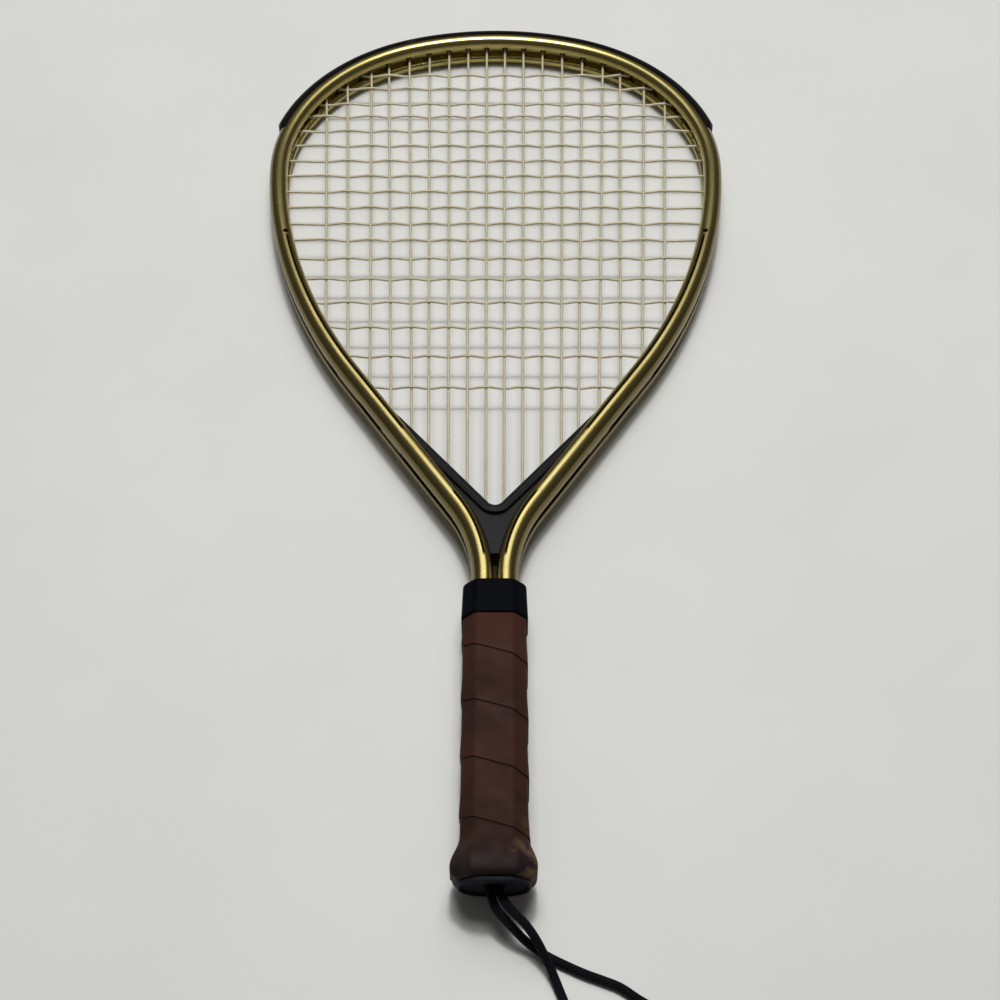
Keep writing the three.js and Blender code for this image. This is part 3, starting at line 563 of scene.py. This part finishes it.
# Web holes clear the grommet barrels, and one drain hole goes into each side's front rail
barrel_radius = 1.42
barrel_slack = 0.16
drain_drop = 155
drain_inset = 1.2
drain_radius = 1.35
drain_depth = 2.5
gold_frame = skin("gold_frame", along_frame(frame_stations, frame_section),
                  along=frame_stations / 1000, around=frame_round)
web_cutters = rods(beside(all_holes, web_inner - 1), beside(all_holes, web_outer + 1),
                   barrel_radius + barrel_slack, 14)
drain_station = np.interp(drain_drop - crown, -line_y, line_marks)
drain_low = beside(np.array([-drain_station, drain_station]), -drain_inset)
drain_low[:, 2] = frame_depth / 2 - drain_depth
drain_cutters = rods(drain_low, drain_low + [0, 0, frame_depth], drain_radius, 20)
carve(gold_frame, skin("web_cutters", web_cutters))
carve(gold_frame, skin("drain_cutters", drain_cutters))


def drawn_out(ways, along, across):
    """A place on a piece's own surface, scaled one way along it and another way across."""
    return add_node("ShaderNodeCombineXYZ", {0: times(ways[0], along),
                                             1: times(ways[1], across)}).outputs[0]


# The finish has fine brushing along the rails, soft stains, dark specks and pale scratches
gold_finish, surface, place = new_finish("gold_aluminium", Metallic=1.0)
ways = own_lengths(surface)
brushed = mottle(drawn_out(ways, 30, 4200), 1, 2)
stain = mottle(place, 55, 5)
speck = mottle(place, 900, 3)
scratch_place = add_node("ShaderNodeVectorRotate", {"Vector": place, "Angle": 0.9},
                         rotation_type="Z_AXIS").outputs[0]
scratch_place = add_node("ShaderNodeVectorMath", {0: scratch_place, 1: (700, 22, 60)},
                         operation="MULTIPLY").outputs[0]
scratch = ramped(mottle(scratch_place, 1, 2), 0.70, 0.74)

# The outward flanks of both rails get painted shade, a dark brown that stands in for the shade
# and dark reflection they take. The way round the section is folded over at its middle, so that
# both rails are finished alike
rail_round = frame_round[len(rail_lip) + 1:][:len(back_turn)]
flank_low, flank_high = np.interp(np.radians((15, 75)), back_turn, rail_round)
folded = summed("MINIMUM", ways[1], summed("SUBTRACT", frame_round[-2], ways[1]))
flank_shade = ramped(folded, flank_low, flank_high, 0.8, 0)

# A dark line is painted close to each rail's crest, from the drain hole down the side and the
# leg, and again in the throat
stripe_turn = np.radians(100)
stripe_half = 0.00055
stripe_blur = 0.00008
stripe_fade = 0.002
stripe_spans = ((0.227, 0.371), (0.414, 0.452))
side_way = summed("ABSOLUTE", ways[0])
in_span = 0.0
for low, high in stripe_spans:
    inside = times(ramped(side_way, low, low + stripe_fade),
                   ramped(side_way, high, high + stripe_fade, 1, 0))
    in_span = summed("ADD", inside, in_span)
off_line = summed("ABSOLUTE", summed("SUBTRACT", folded,
                                     np.interp(stripe_turn, back_turn, rail_round)))
on_line = ramped(off_line, stripe_half, stripe_half + stripe_blur, 1, 0)
gold_tone = mixed(ramped(stain, 0.3, 0.7), 0xB8A970, 0xA89A5E)
# The flank mask lays the painted shade on the outward flanks in dark brown
for share, tone in ((times(ramped(speck, 0.62, 0.75), 0.35), 0x7A6E42),
                    (times(scratch, 0.2), 0xDCCB8C), (flank_shade, 0x5E4E28),
                    (times(in_span, on_line), 0x1E170C)):
    gold_tone = mixed(share, gold_tone, tone)
fill(surface, {"Base Color": gold_tone,
               "Roughness": summed("ADD", ramped(stain, 0.25, 0.75, 0.19, 0.25),
                                   ramped(brushed, 0.2, 0.8, 0.0, 0.06)),
               "Normal": bumped(speck, 0.00001, Normal=bumped(brushed, 0.000012))})
dress(gold_frame, gold_finish, "gold_aluminium", "frame")


# Pallets: two halves of pale moulded foam that clamp the arms, and two steel cross pins that
# hold them. All of it is hidden by the leather, the collar and the cap.
foam_finish, surface, place = new_finish("pallet_foam", Roughness=0.85)
cells = add_node("ShaderNodeTexVoronoi", {"Vector": place, "Scale": 1800}).outputs[0]
fill(surface, {"Base Color": mixed(cells, 0x8A8273, 0x9A917F),
               "Normal": bumped(cells, 0.0001)})
steel_finish, surface, place = new_finish("pin_steel", Metallic=1.0)
grain = mottle(place, 1500)
fill(surface, {"Base Color": mixed(grain, 0x7F8286, 0xA9ACB0),
               "Roughness": ramped(grain, 0.3, 0.7, 0.28, 0.45)})
for node, finish in (("handle_pallet_front", foam_finish), ("handle_pallet_back", foam_finish),
                     ("handle_pin_rear", steel_finish), ("handle_pin_front", steel_finish)):
    for slot_of_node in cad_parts[node].material_slots:
        slot_of_node.material = finish


# Throat yoke: a black nylon moulding pressed between the legs. A raised lip along the V takes
# the middle mains, and two thin plates behind it reach down to a solid heel.
yoke_sink = 4.5
yoke_half = np.radians(39.6)
apex_radius = 4
yoke_depth = 14
yoke_lip = 4.4
plate_depth = 10
plate_wall = 1.6
plate_overlap = 0.5
heel_height = 8
heel_overlap = 0.1
plate_reach = 0.985
foot_share = 0.7
tongue = 1.8
lip_ease = 0.9
line_cut = 0.22
yoke_apex = np.interp(throat_start, line_marks, line_y) - yoke_sink
half_arc = np.pi / 2 - yoke_half


def vee_at(marks):
    """The V's edge at distances from its middle, and the way behind it: an arc at the apex,
    and straight on past the arc at each side."""
    marks = np.asarray(marks, float)
    turn = np.clip(marks / apex_radius, -half_arc, half_arc)
    past = (marks - turn * apex_radius)[..., None]
    behind = np.stack([np.sin(turn), -np.cos(turn)], axis=-1)
    way = np.stack([np.cos(turn), np.sin(turn)], axis=-1)
    middle = [0, yoke_apex + apex_radius / np.sin(yoke_half)]
    return middle + apex_radius * behind + past * way, behind


def vee_height(x, behind=0.0):
    """Height of the straight V at a distance from the middle line, moved behind its edge."""
    return yoke_apex - behind / np.sin(yoke_half) + np.abs(x) / np.tan(yoke_half)


leg_marks = np.linspace(
    throat_start - 150, throat_start + foot_share * (throat_end - throat_start), 400)
leg_edge = beside(leg_marks, -rail_radius)
above_vee = leg_edge[:, 1] - vee_height(leg_edge[:, 0])
meet = np.interp(0, -above_vee, leg_marks)
meet_x = np.interp(meet, leg_marks, leg_edge[:, 0])
lip_reach = (meet_x - apex_radius * np.cos(yoke_half)) / np.sin(yoke_half) \
    + apex_radius * half_arc + 2
lip_marks = np.linspace(-lip_reach, lip_reach, 141)
half_lip = yoke_depth / 2
lip_back = np.stack([[0, 1.2, 1.5, 1.8, 2.7, 3.0, 3.3, yoke_lip],
                     np.array([0, 0, line_cut, 0, 0, line_cut, 0, 0]) - half_lip], axis=-1)
lip_corners = np.vstack([lip_back, (lip_back * [1, -1])[::-1]])
lip_section = rounded(lip_corners, [lip_ease, *[0.1] * 6, lip_ease] * 2, 3)
vee_edge, vee_behind = vee_at(lip_marks)
lip_grid = np.zeros((len(lip_marks), len(lip_section), 3))
lip_grid[..., :2] = vee_edge[:, None] + lip_section[:, :1] * vee_behind[:, None]
lip_grid[..., 2] = lip_section[:, 1]
yoke_lip_piece = skin("throat_yoke_lip", lay(lip_grid), along=lip_marks / 1000,
                      around=round_lengths(lip_section), crease=50)


def plate(low, high, ceiling, name):
    """A plate behind the lip between two heights. Across it x runs from leg to leg, and along
    it y runs from the legs' edge, or the foot, up under the lip, or to a ceiling."""
    x = np.linspace(-1, 1, 61) * plate_side[-1, 0] * plate_reach
    bottom = np.maximum(np.interp(np.abs(x), plate_side[:, 0], plate_side[:, 1]), foot_line)
    behind = yoke_lip - plate_overlap
    bend = apex_radius + behind
    round_top = yoke_apex + apex_radius / np.sin(yoke_half) - np.sqrt(
        np.maximum(bend ** 2 - x ** 2, 0))
    top = np.where(np.abs(x) < bend * np.cos(yoke_half), round_top, vee_height(x, behind))
    top = np.maximum(np.minimum(top, ceiling), bottom + 0.05)
    y = np.stack([bottom, top, top, bottom], axis=-1)
    return skin(name, lay(np.stack(np.broadcast_arrays(
        x[:, None], y, [low, low, high, high]), axis=-1)))


plate_side = beside(np.linspace(meet, leg_marks[-1], 120), tongue - rail_radius)[::-1]
foot_line = beside(leg_marks[-1:], 0)[0, 1]
half_plate = plate_depth / 2
front_plate = plate(half_plate - plate_wall, half_plate, crown, "throat_yoke_front_plate")
back_plate = plate(-half_plate, plate_wall - half_plate, crown, "throat_yoke_back_plate")
half_heel = half_plate - plate_wall + heel_overlap
heel = plate(-half_heel, half_heel, foot_line + heel_height, "throat_yoke_heel")

# What meets the legs is cut to the rails, with a small fit
rail_fit = 0.12
for piece in (yoke_lip_piece, front_plate, back_plate, heel):
    for leg_start in (meet - 20, -meet - 170):
        span = np.arange(leg_start, leg_start + 190, 3.0)
        cutter = skin("rail_cutter", along_frame(span, outset(frame_section, rail_fit)))
        carve(piece, cutter, crease=50)


def join(name, pieces):
    """Several meshes made one piece."""
    with bpy.context.temp_override(active_object=pieces[0],
                                   selected_editable_objects=pieces):
        bpy.ops.object.join()
    pieces[0].name = name
    return pieces[0]


def moulded(name, blots, tones, roughness, grain, fleck=(0.0, 0x000000), **constants):
    """The finish of a moulding. Soft blots, as a scale and a detail, run from one tone to
    another between two levels, and take the roughness with them. Over them is a grain, as a
    scale, a detail and a depth, with a share of a fleck's tone where it stands up."""
    finish, surface, place = new_finish(name, **constants)
    blot, fine = mottle(place, *blots), mottle(place, *grain[:2])
    low, high, first, second = tones
    tone = mixed(ramped(blot, low, high), first, second)
    fill(surface, {"Base Color": mixed(times(fine, fleck[0]), tone, fleck[1]),
                   "Roughness": ramped(blot, 0.3, 0.7, *roughness),
                   "Normal": bumped(fine, grain[2])})
    return finish


nylon_finish = moulded("black_nylon", (120, 5), (0.35, 0.75, 0x0C0C0F, 0x161617),
                       (0.36, 0.52), (5200, 2, 0.00004), Specular_IOR_Level=0.14)
throat_yoke = join("throat_yoke_moulding", [yoke_lip_piece, front_plate, back_plate, heel])
dress(throat_yoke, nylon_finish, "black_nylon", "throat_yoke")


# Grommet strips: black nylon strips in the frame's outer groove, one round the head and one
# down each side, with a short barrel through the web for every string.
strip_face = 2.6
strip_low = 2.0
strip_half = 1.4
strip_tail = 6
strip_gap = 0.3
bore_radius = 0.95
barrel_tip = -1.3
barrel_sides = 14
bumper_holes = 14
bumper_end = (drilled_at[bumper_holes - 1] + drilled_at[bumper_holes]) / 2
strip_end = drilled_at[-1] + strip_tail
strip_section = rounded([[-strip_half, strip_low], [strip_half, strip_low],
                         [strip_half, strip_face], [-strip_half, strip_face]], 0.18, 2)
barrel_outline = np.array([
    [bore_radius, barrel_tip + 0.2], [1.1, barrel_tip], [barrel_radius - 0.15, barrel_tip],
    [barrel_radius, barrel_tip + 0.2], [barrel_radius, strip_low + 0.1],
    [bore_radius, strip_low + 0.1]])


def barrels(stations, name):
    """Rings turned about each hole: the outline's points are a radius and a way outwards."""
    point, outward = frame_at(stations)
    travel = np.stack([outward[:, 1], -outward[:, 0], 0 * outward[:, 0]], axis=-1)
    spoke = circles(travel, np.array([[0, 0, 1]]), barrel_sides)
    grid = (point[:, None, None] + outward[:, None, None] * barrel_outline[:, 1:]
            + spoke[:, :, None] * barrel_outline[:, :1])
    return skin(name, lay(np.concatenate([grid, grid[:, :1]], axis=1)), capped=False)


for name, low, high in (("head", strip_gap - bumper_end, bumper_end - strip_gap),
                        ("left", -strip_end, -bumper_end), ("right", bumper_end, strip_end)):
    marks = np.linspace(low, high, int((high - low) / frame_step))
    strip = skin(f"grommet_strip_{name}_plate", along_frame(marks, strip_section),
                 along=marks / 1000, around=round_lengths(strip_section))
    own = all_holes[(all_holes > low) & (all_holes < high)]
    strip = join(f"grommets_{name}", [strip, barrels(own, f"grommets_{name}_barrels")])
    dress(strip, nylon_finish, "black_nylon", f"grommet_strip_{name}")


# Strings: one long length for the mains and four lengths for the crosses, of twisted synthetic
# gut. Each run passes over and under those that it crosses, and turns in the outer groove.
string_radius = 0.65
yoke_room = 0.3
weave = 0.66
mouth = -1.9
string_layer = 3.55
string_step = 0.4
rings_apart = 3
string_sides = 8
corner_round = 5
behind_lip = (yoke_lip + yoke_room + string_radius) / np.sin(yoke_half)


def main_ends(rank):
    """A main on the right: its mouth in the crown, and its mouth in the leg or the yoke."""
    top = beside(hole_at["top", rank], mouth)
    if rank >= yoke_strings:
        return top, beside(hole_at["bottom", rank], mouth)
    across = main_across[rank]
    slope = 1 / np.tan(yoke_half)
    x = across * (1 - (main_line - yoke_apex) / main_fan) / (1 - across * slope / main_fan)
    entry = np.array([x, yoke_apex + slope * x, 0])
    return top, entry + behind_lip * unit(entry - top)


# Runs as the points at their two ends and the stations of their holes, from left to right
# and from the crown down
mains = []
for side, rank in [(-1, rank) for rank in ranks[::-1]] + [(1, rank) for rank in ranks]:
    top, bottom = (point * [side, 1, 1] for point in main_ends(rank))
    low_hole = None if rank < yoke_strings else side * hole_at["bottom", rank]
    mains.append(((bottom, top), (low_hole, side * hole_at["top", rank])))
crosses = []
for row in range(cross_count):
    holes = np.array([-1, 1]) * hole_at["cross", row]
    crosses.append((beside(holes, mouth), holes))


def woven(run, others, order, hand):
    """The line of a run. Its height goes from one crossing to the next by half a wave, over
    and under in turn, and is level with the bed at both ends."""
    (start, end), _ = run
    along = (end - start)[:2]
    starts, stops = np.swapaxes([other[0] for other in others], 0, 1)[..., :2]
    ways = stops - starts
    gap = starts - start[:2]
    turn = along[0] * ways[:, 1] - along[1] * ways[:, 0]
    share = (gap[:, 0] * ways[:, 1] - gap[:, 1] * ways[:, 0]) / turn
    other_share = (gap[:, 0] * along[1] - gap[:, 1] * along[0]) / turn
    met = (share > 0) & (share < 1) & (other_share > 0) & (other_share < 1)
    number = np.arange(len(others))[met]
    knots = np.concatenate([[0], share[met], [1]])
    heights = np.concatenate([[0], hand * weave * np.where((order + number) % 2, -1, 1), [0]])
    inner = np.argsort(knots)
    knots, heights = knots[inner], heights[inner]
    marks = np.linspace(0, 1, int(np.linalg.norm(along) / string_step))
    span = np.clip(np.searchsorted(knots, marks, side="right") - 1, 0, len(knots) - 2)
    part = (marks - knots[span]) / (knots[span + 1] - knots[span])
    rise = (1 - np.cos(np.pi * part)) / 2
    line = start + (end - start) * marks[:, None]
    line[:, 2] = heights[span] * (1 - rise) + heights[span + 1] * rise
    return line


def way_round(first, second, taken):
    """The way in the outer groove between two holes, or none past a hole that is in use."""
    if first is None and second is None:
        return np.zeros((0, 3))
    low, high = sorted((first, second))
    if any(low < station < high for station in taken):
        return None
    marks = np.linspace(first, second, max(2, int(abs(second - first) / 1.5)))
    return beside(marks, string_layer)


def threaded(runs, others, hand, taken):
    """The lines of a string's lengths: runs laid forwards and back in turn, joined where there
    is a way round, and ended inside the barrel where there is none. The corners are rounded by
    averaging each point with its neighbours."""
    lines, parts = [], []
    for order, run in enumerate(runs):
        way, stations = woven(run, others, order, hand), list(run[1])
        if order % 2:
            way, stations = way[::-1], stations[::-1]
        if not parts:
            parts.append(beside([stations[0]], web_outer))
        parts.append(way)
        onward = None
        if order + 1 < len(runs):
            onward = way_round(stations[1], runs[order + 1][1][(order + 1) % 2], taken)
        if onward is not None:
            parts.append(onward)
            continue
        parts.append(beside([stations[1]], web_outer))
        line = evenly(np.vstack(parts), string_step)
        wide = corner_round // 2
        padded = np.pad(line, ((wide, wide), (0, 0)), mode="edge")
        line = sum(padded[i:i + len(line)] for i in range(corner_round)) / corner_round
        lines.append(line)
        parts = []
    return lines


def string_piece(name, lines):
    """One mesh of round tubes along the lines, with a ring at every third point."""
    tubes = [tube(f"{name}_{number}", lay(line)[::rings_apart], string_radius / 1000,
                  string_sides, crease=60) for number, line in enumerate(lines)]
    return join(name, tubes) if len(tubes) > 1 else tubes[0]


turn_holes = [side * station for (word, number), station in hole_at.items()
              if word != "cross" and (word, number) != ("bottom", mains_per_side - 1)
              for side in (-1, 1)]
strand_count = 3
strand_pitch = 0.006
gut_finish, surface, place = new_finish("twisted_gut", Coat_Weight=0.25, Coat_Roughness=0.25)
ways = own_lengths(surface)
twist = summed("ADD", times(ways[0], 2 * np.pi / strand_pitch),
               times(ways[1], strand_count * 1000 / string_radius))
strand = ramped(summed("SINE", twist), -1, 1)
worn = mottle(place, 160, 4)
gut_tone = mixed(ramped(worn, 0.3, 0.72), 0xC6BD9E, 0xADA382)
fill(surface, {"Base Color": mixed(times(strand, 0.35), gut_tone, 0xDAD3BC),
               "Roughness": ramped(worn, 0.3, 0.7, 0.38, 0.55),
               "Normal": bumped(strand, 0.00004)})
main_strings = string_piece("main_string_strung", threaded(mains, crosses, 1, []))
dress(main_strings, gut_finish, "string", "main_string")
cross_strings = string_piece("cross_strings_woven", threaded(crosses, mains, -1, turn_holes))
dress(cross_strings, gut_finish, "string", "cross_string", "cross_string_first_row",
      "cross_string_second_row", "cross_string_last_row")


# Bumper guard: a satin black nylon moulding over the head, with a rib in the groove, a wing
# over each rail, and the strings to hold it. It is scuffed grey round the crown by walls.
bumper_fit = 0.3
bumper_inner = rail_radius + bumper_fit
bumper_thickness = 2.1
bumper_rib = 0.5
rib_half = 1.3
wing_taper = 1.9
wing_reach = np.radians(60)
end_thin = 0.35
end_reach = 3
bumper_outer = bumper_inner + bumper_thickness
wing_turn = np.linspace(0, wing_reach, 15)
wing_outer = bumper_outer - wing_taper * (wing_turn / wing_reach) ** 2
wing_back = np.vstack([[[rib_half, bumper_inner - bumper_rib], [rib_half, bumper_inner]],
                       round_rail(wing_turn, bumper_inner)])
bumper_section = both_rails(np.vstack([wing_back, round_rail(wing_turn, wing_outer)[::-1]]))
bumper_thin = both_rails(np.vstack([wing_back, round_rail(wing_turn, bumper_inner)[::-1]]))
bumper_marks = np.linspace(-bumper_end, bumper_end, 141)
end_share = np.clip((bumper_end - np.abs(bumper_marks)) / end_reach, 0, 1)
end_ease = np.sqrt(1 - (1 - end_share) ** 2)[:, None, None]
bumper_share = end_thin + (1 - end_thin) * end_ease
bumper_rings = bumper_thin + (bumper_section - bumper_thin) * bumper_share
bumper = skin("bumper_guard_moulding", along_frame(bumper_marks, bumper_rings),
              along=bumper_marks / 1000, around=round_lengths(bumper_section))
bumper_finish, surface, place = new_finish("bumper_nylon", Specular_IOR_Level=0.09)
haze = mottle(place, 90, 5)
ways = own_lengths(surface)
near_top = ramped(summed("ABSOLUTE", ways[0]), 0.03, 0.11, 1, 0.15)
scuff = times(ramped(mottle(drawn_out(ways, 90, 900), 1, 4), 0.60, 0.70), near_top)
bumper_tone = mixed(ramped(haze, 0.35, 0.75), 0x0C0C0E, 0x151517)
fill(surface, {"Base Color": mixed(times(scuff, 0.5), bumper_tone, 0x5C5A55),
               "Roughness": ramped(scuff, 0, 1, 0.38, 0.7),
               "Normal": bumped(scuff, 0.00006)})
dress(bumper, bumper_finish, "black_nylon", "bumper_guard")


# Butt cap: a cup of dark rubber over the pallets, flared under the leather. Its end has a low
# rim round a dished face, leans a little, and has an oval hole for the cord's two ends.
pallet_width = 24
pallet_depth = 22
pallet_bevel = 4.4
grip_rounding = 1.7
grip_start = 7.2
flare_place = 13.5
flare_length = 14.6
flare_growth = 3.5
flare_turn = 0.9
flare_round = 4.6
cap_growth = 2.6
cap_edge = 0.5
cap_end = 5.4
cap_step = 7.0
cap_lean = 0.2
lean_top = 13
lean_end = 24
cap_roundness = 0.45
dish_growth = 1.2
dish_depth = 1.3
dish_corner = 0.6
floor_back = 12.1
cup_end = 23
room_growth = 0.35
outline_columns = 96


def octagon(growth):
    """The handle's octagon grown outwards: x across, and height through the handle."""
    across, through = pallet_width / 2 + growth, pallet_depth / 2 + growth
    bevel = pallet_bevel + growth * (2 - np.sqrt(2))
    quarter = np.array([[across, bevel - through], [across, through - bevel],
                        [across - bevel, through], [bevel - across, through]])
    return np.vstack([quarter, -quarter])


# Points at even distances round the handle, and how far each moves as it grows by 1 mm
plain, grown = (closed(rounded(octagon(growth), grip_rounding, 6)) for growth in (0, 1))
ring_along = lengths_along(plain)
ring_marks = np.arange(outline_columns) / outline_columns * ring_along[-1]
grip_outline = points_at(ring_marks, ring_along, plain)
grip_growth = points_at(ring_marks, ring_along, grown) - grip_outline


def handle_rings(y, growth, roundness=0.0):
    """Rings of the eased octagon at places along the handle, each grown outwards, and drawn
    towards a plain oval of the same size by its roundness."""
    ring = grip_outline + growth[:, None, None] * grip_growth
    angle = np.arctan2(ring[..., 1] * pallet_width, ring[..., 0] * pallet_depth)
    size = np.array([pallet_width, pallet_depth]) / 2 + growth[:, None, None]
    oval = size * np.stack([np.cos(angle), np.sin(angle)], axis=-1)
    ring = ring + (oval - ring) * np.reshape(roundness, (-1, 1, 1))
    return np.insert(ring, 1, y[:, None], axis=2)


def flare_at(y):
    """Growth under the leather: part of a circle up to the flare, and a cosine down past it."""
    up = np.clip((flare_place - y) / (flare_place - grip_start), 0, 1)
    down = np.clip((y - flare_place) / flare_length, 0, 1)
    rising = flare_growth - flare_round * (1 - np.sqrt(1 - (flare_turn * up) ** 2))
    return np.where(y <= flare_place, rising, flare_growth * (1 + np.cos(down * np.pi)) / 2)


def leaned(rings):
    """Rings near the butt moved along by their depth under the top, less and less with the
    distance from the cap's end."""
    share = np.clip((lean_end - rings[..., 1]) / (lean_end - grip_start), 0, 1)
    rings = rings.copy()
    rings[..., 1] += cap_lean * share * (lean_top - rings[..., 2])
    return rings


edge_turn = np.linspace(0, np.pi / 2, 7)
edge_off, edge_left = 1 - np.cos(edge_turn), 1 - np.sin(edge_turn)
cup = np.concatenate([np.linspace(cap_step, flare_place, 12),
                      np.linspace(flare_place, cup_end, 8)[1:]])
dish_y = np.append(dish_depth - dish_corner * edge_off, cap_edge * edge_left)
dish_out = dish_growth + np.append(-dish_corner * edge_left, cap_edge * edge_off)
outer_y = np.append(cap_edge * edge_off, cap_step - cap_end)
outer_out = np.append(cap_growth - cap_edge * edge_left, cap_growth)
cap_y = np.concatenate([cap_end + dish_y, cap_end + outer_y, cup, [cup_end, floor_back]])
cap_out = np.concatenate([dish_out, outer_out, flare_at(cup), [room_growth, room_growth]])
cap_round = np.repeat([cap_roundness, 0], [len(dish_y) + len(outer_y), len(cup) + 2])
cap_rings = handle_rings(cap_y, cap_out, cap_round)
cap_rings[:-2] = leaned(cap_rings[:-2])
butt_cap = skin("butt_cap_moulding", lay(cap_rings))

# The oval hole for the cord's two ends, two half circles a cord's gap apart
hole_radius = 2.5
oval_turn = np.arange(40) * 2 * np.pi / 40
oval_side = np.sign(np.cos(oval_turn + 0.01)) * cord_gap / 2
oval = np.stack([oval_side + hole_radius * np.cos(oval_turn), 0 * oval_turn,
                 hole_radius * np.sin(oval_turn)], axis=-1)
carve(butt_cap, skin("cord_hole", lay([oval, oval + [0, floor_back + 1, 0]])))
cap_finish = moulded("grey_rubber", (210, 6), (0.35, 0.7, 0x0E1018, 0x181A22), (0.6, 0.8),
                     (4000, 3, 0.00005), (0.25, 0x24262E), Specular_IOR_Level=0.15)
dress(butt_cap, cap_finish, "grey_rubber", "butt_cap")


# Leather grip: one strip of brown leather wound from the butt to the collar. The rear edge of
# each turn stands on the turn before it, and the strip folds over the flare at the butt.
leather_thickness = 1.4
leather_wall = 0.0011
leather_rise = 0.5
leather_gap = 0.3
fold_reach = 1.8
fold_thin = 0.45
grip_round = 0.084
wrap_pitch = 27
wrap_start = -19.3
collar_start = 130
grip_end = collar_start - 0.3
wrap_knots = np.array([
    [0, 0.72], [0.006, 0.92], [0.018, 1.0], [0.05, 0.98], [0.12, 0.86], [0.2, 0.66],
    [0.3, 0.34], [0.4, 0.1], [0.5, 0.0], [0.62, 0.0], [0.74, 0.02], [0.86, 0.0],
    [0.94, -0.02], [0.972, -0.1], [0.986, -0.2], [0.992, -0.12], [0.996, 0.35], [1.0, 0.72]])
turn_shares = np.unique(np.concatenate([wrap_knots[:-1, 0], np.arange(0.05, 0.97, 0.025)]))
turn_count = 8
turns = (np.arange(turn_count)[:, None] + turn_shares).ravel() - 2
share_round = np.arange(outline_columns + 1) / outline_columns
wrap_y = wrap_start + wrap_pitch * (turns[:, None] + share_round)
wrap_y = np.clip(wrap_y, grip_start, grip_end)
turn_lift = np.interp(((wrap_y - wrap_start) / wrap_pitch - share_round) % 1,
                      wrap_knots[:, 0], wrap_knots[:, 1])
butt_fold = np.sqrt(np.clip((wrap_y - grip_start) / fold_reach, 0, 1))
wrap_growth = (flare_at(wrap_y) + leather_gap + leather_rise * turn_lift
               + leather_thickness * (fold_thin + (1 - fold_thin) * butt_fold))
columns = np.arange(outline_columns + 1) % outline_columns
wrap_ring = grip_outline[columns] + wrap_growth[..., None] * grip_growth[columns]
wrap_grid = leaned(np.stack([-wrap_ring[..., 0], wrap_y, -wrap_ring[..., 1]], axis=-1))
leather_grip = skin("leather_wrap", lay(wrap_grid), along=turns * wrap_pitch / 1000,
                    around=share_round * grip_round, rolled=False, capped=False,
                    crease=60)
adjust(leather_grip.modifiers.new("wall", "SOLIDIFY"), thickness=leather_wall, offset=-1)
leather_finish, surface, place = new_finish("brown_leather", Specular_IOR_Level=0.14)
phase = summed("FRACT", summed("DIVIDE", own_lengths(surface)[0], wrap_pitch / 1000))
# Painted shade along the groove where each turn meets the next
crease_shade = times(ramped(phase, 0.955, 0.985), ramped(phase, 0.994, 1.0, 1, 0))
edge_line = ramped(phase, 0.0, 0.035, 1, 0)
hide = mottle(place, 70, 6, 0.6)
pores = add_node("ShaderNodeTexVoronoi", {"Vector": place, "Scale": 1500},
                 feature="DISTANCE_TO_EDGE").outputs["Distance"]
across, along, _ = parted(place)
near_butt = ramped(along, -0.252, -0.232, 1, 0)
near_flare = ramped(along, -0.246, -0.225, 1, 0)
near_right = ramped(across, 0.005, 0.011, 0.06, 0.55)
rub = ramped(mottle(place, 85, 4), 0.5, 0.62)

# Redder patches, the dark butt, bare patches on the flare, pale edges and painted shade in the
# creases
leather_tone = mixed(ramped(hide, 0.3, 0.7), 0x381D13, 0x28150D)
for share, tone in ((ramped(mottle(place, 24, 3), 0.45, 0.7), 0x3E2015),
                    (times(near_butt, 0.8), 0x121016),
                    (times(times(near_flare, rub), near_right), 0x785A3E),
                    (times(edge_line, 0.35), 0x5A3A2C), (times(crease_shade, 0.7), 0x140906)):
    leather_tone = mixed(share, leather_tone, tone)
leather_grain = bumped(ramped(pores, 0.0, 0.35), 0.00005, 0.8)
fill(surface, {"Base Color": leather_tone, "Roughness": ramped(hide, 0.3, 0.7, 0.58, 0.74),
               "Normal": bumped(hide, 0.00025, 0.6, Normal=leather_grain)})
dress(leather_grip, leather_finish, "brown_leather", "leather_grip")


# Collar: a stretched sleeve of dark rubber over the front of the handle. It covers the end of
# the leather and closes round the two arms of the frame.
collar_wall = 2.1
collar_edge = 0.6
collar_swell = 0.35
collar_slim = 0.2
collar_shoulder = 1.6
shoulder_drop = 1.5
collar_front = 2.6
room_back = 5
room_fit = 0.15
handle_length = 148
shoulder_turn = np.linspace(0, np.pi / 2, 8)
collar_y = np.concatenate([
    [collar_start, collar_start, collar_start + 0.4],
    np.linspace(collar_start + 1, handle_length - collar_shoulder, 8),
    handle_length - collar_shoulder * (1 - np.sin(shoulder_turn[1:])),
])
collar_out = np.concatenate([
    [collar_edge, collar_wall, collar_wall + 0.3],
    np.linspace(collar_wall + collar_swell, collar_wall - collar_slim, 8),
    collar_wall - collar_slim - shoulder_drop * (1 - np.cos(shoulder_turn[1:])),
])
collar = skin("collar_sleeve", lay(handle_rings(collar_y, collar_out)))
room_start = collar_start - room_back
pallet_room = np.insert(octagon(room_fit), 1, room_start, axis=1)
room_end = pallet_room + [0, handle_length - collar_front - room_start, 0]
carve(collar, skin("pallet_room", lay([pallet_room, room_end])))
arm_section = outset(both_rails(rail_back), room_fit)
for side in (-1, 1):
    arm_marks = side * np.linspace(throat_end - 20, throat_end + 40, 30)
    carve(collar, skin("arm_room", along_frame(np.sort(arm_marks), arm_section)))
rubber_finish = moulded("dark_rubber", (260, 6), (0.4, 0.75, 0x030409, 0x080A10),
                        (0.5, 0.66), (3800, 3, 0.00005), (0.2, 0x11131B),
                        Specular_IOR_Level=0.03)
dress(collar, rubber_finish, "dark_rubber", "collar")
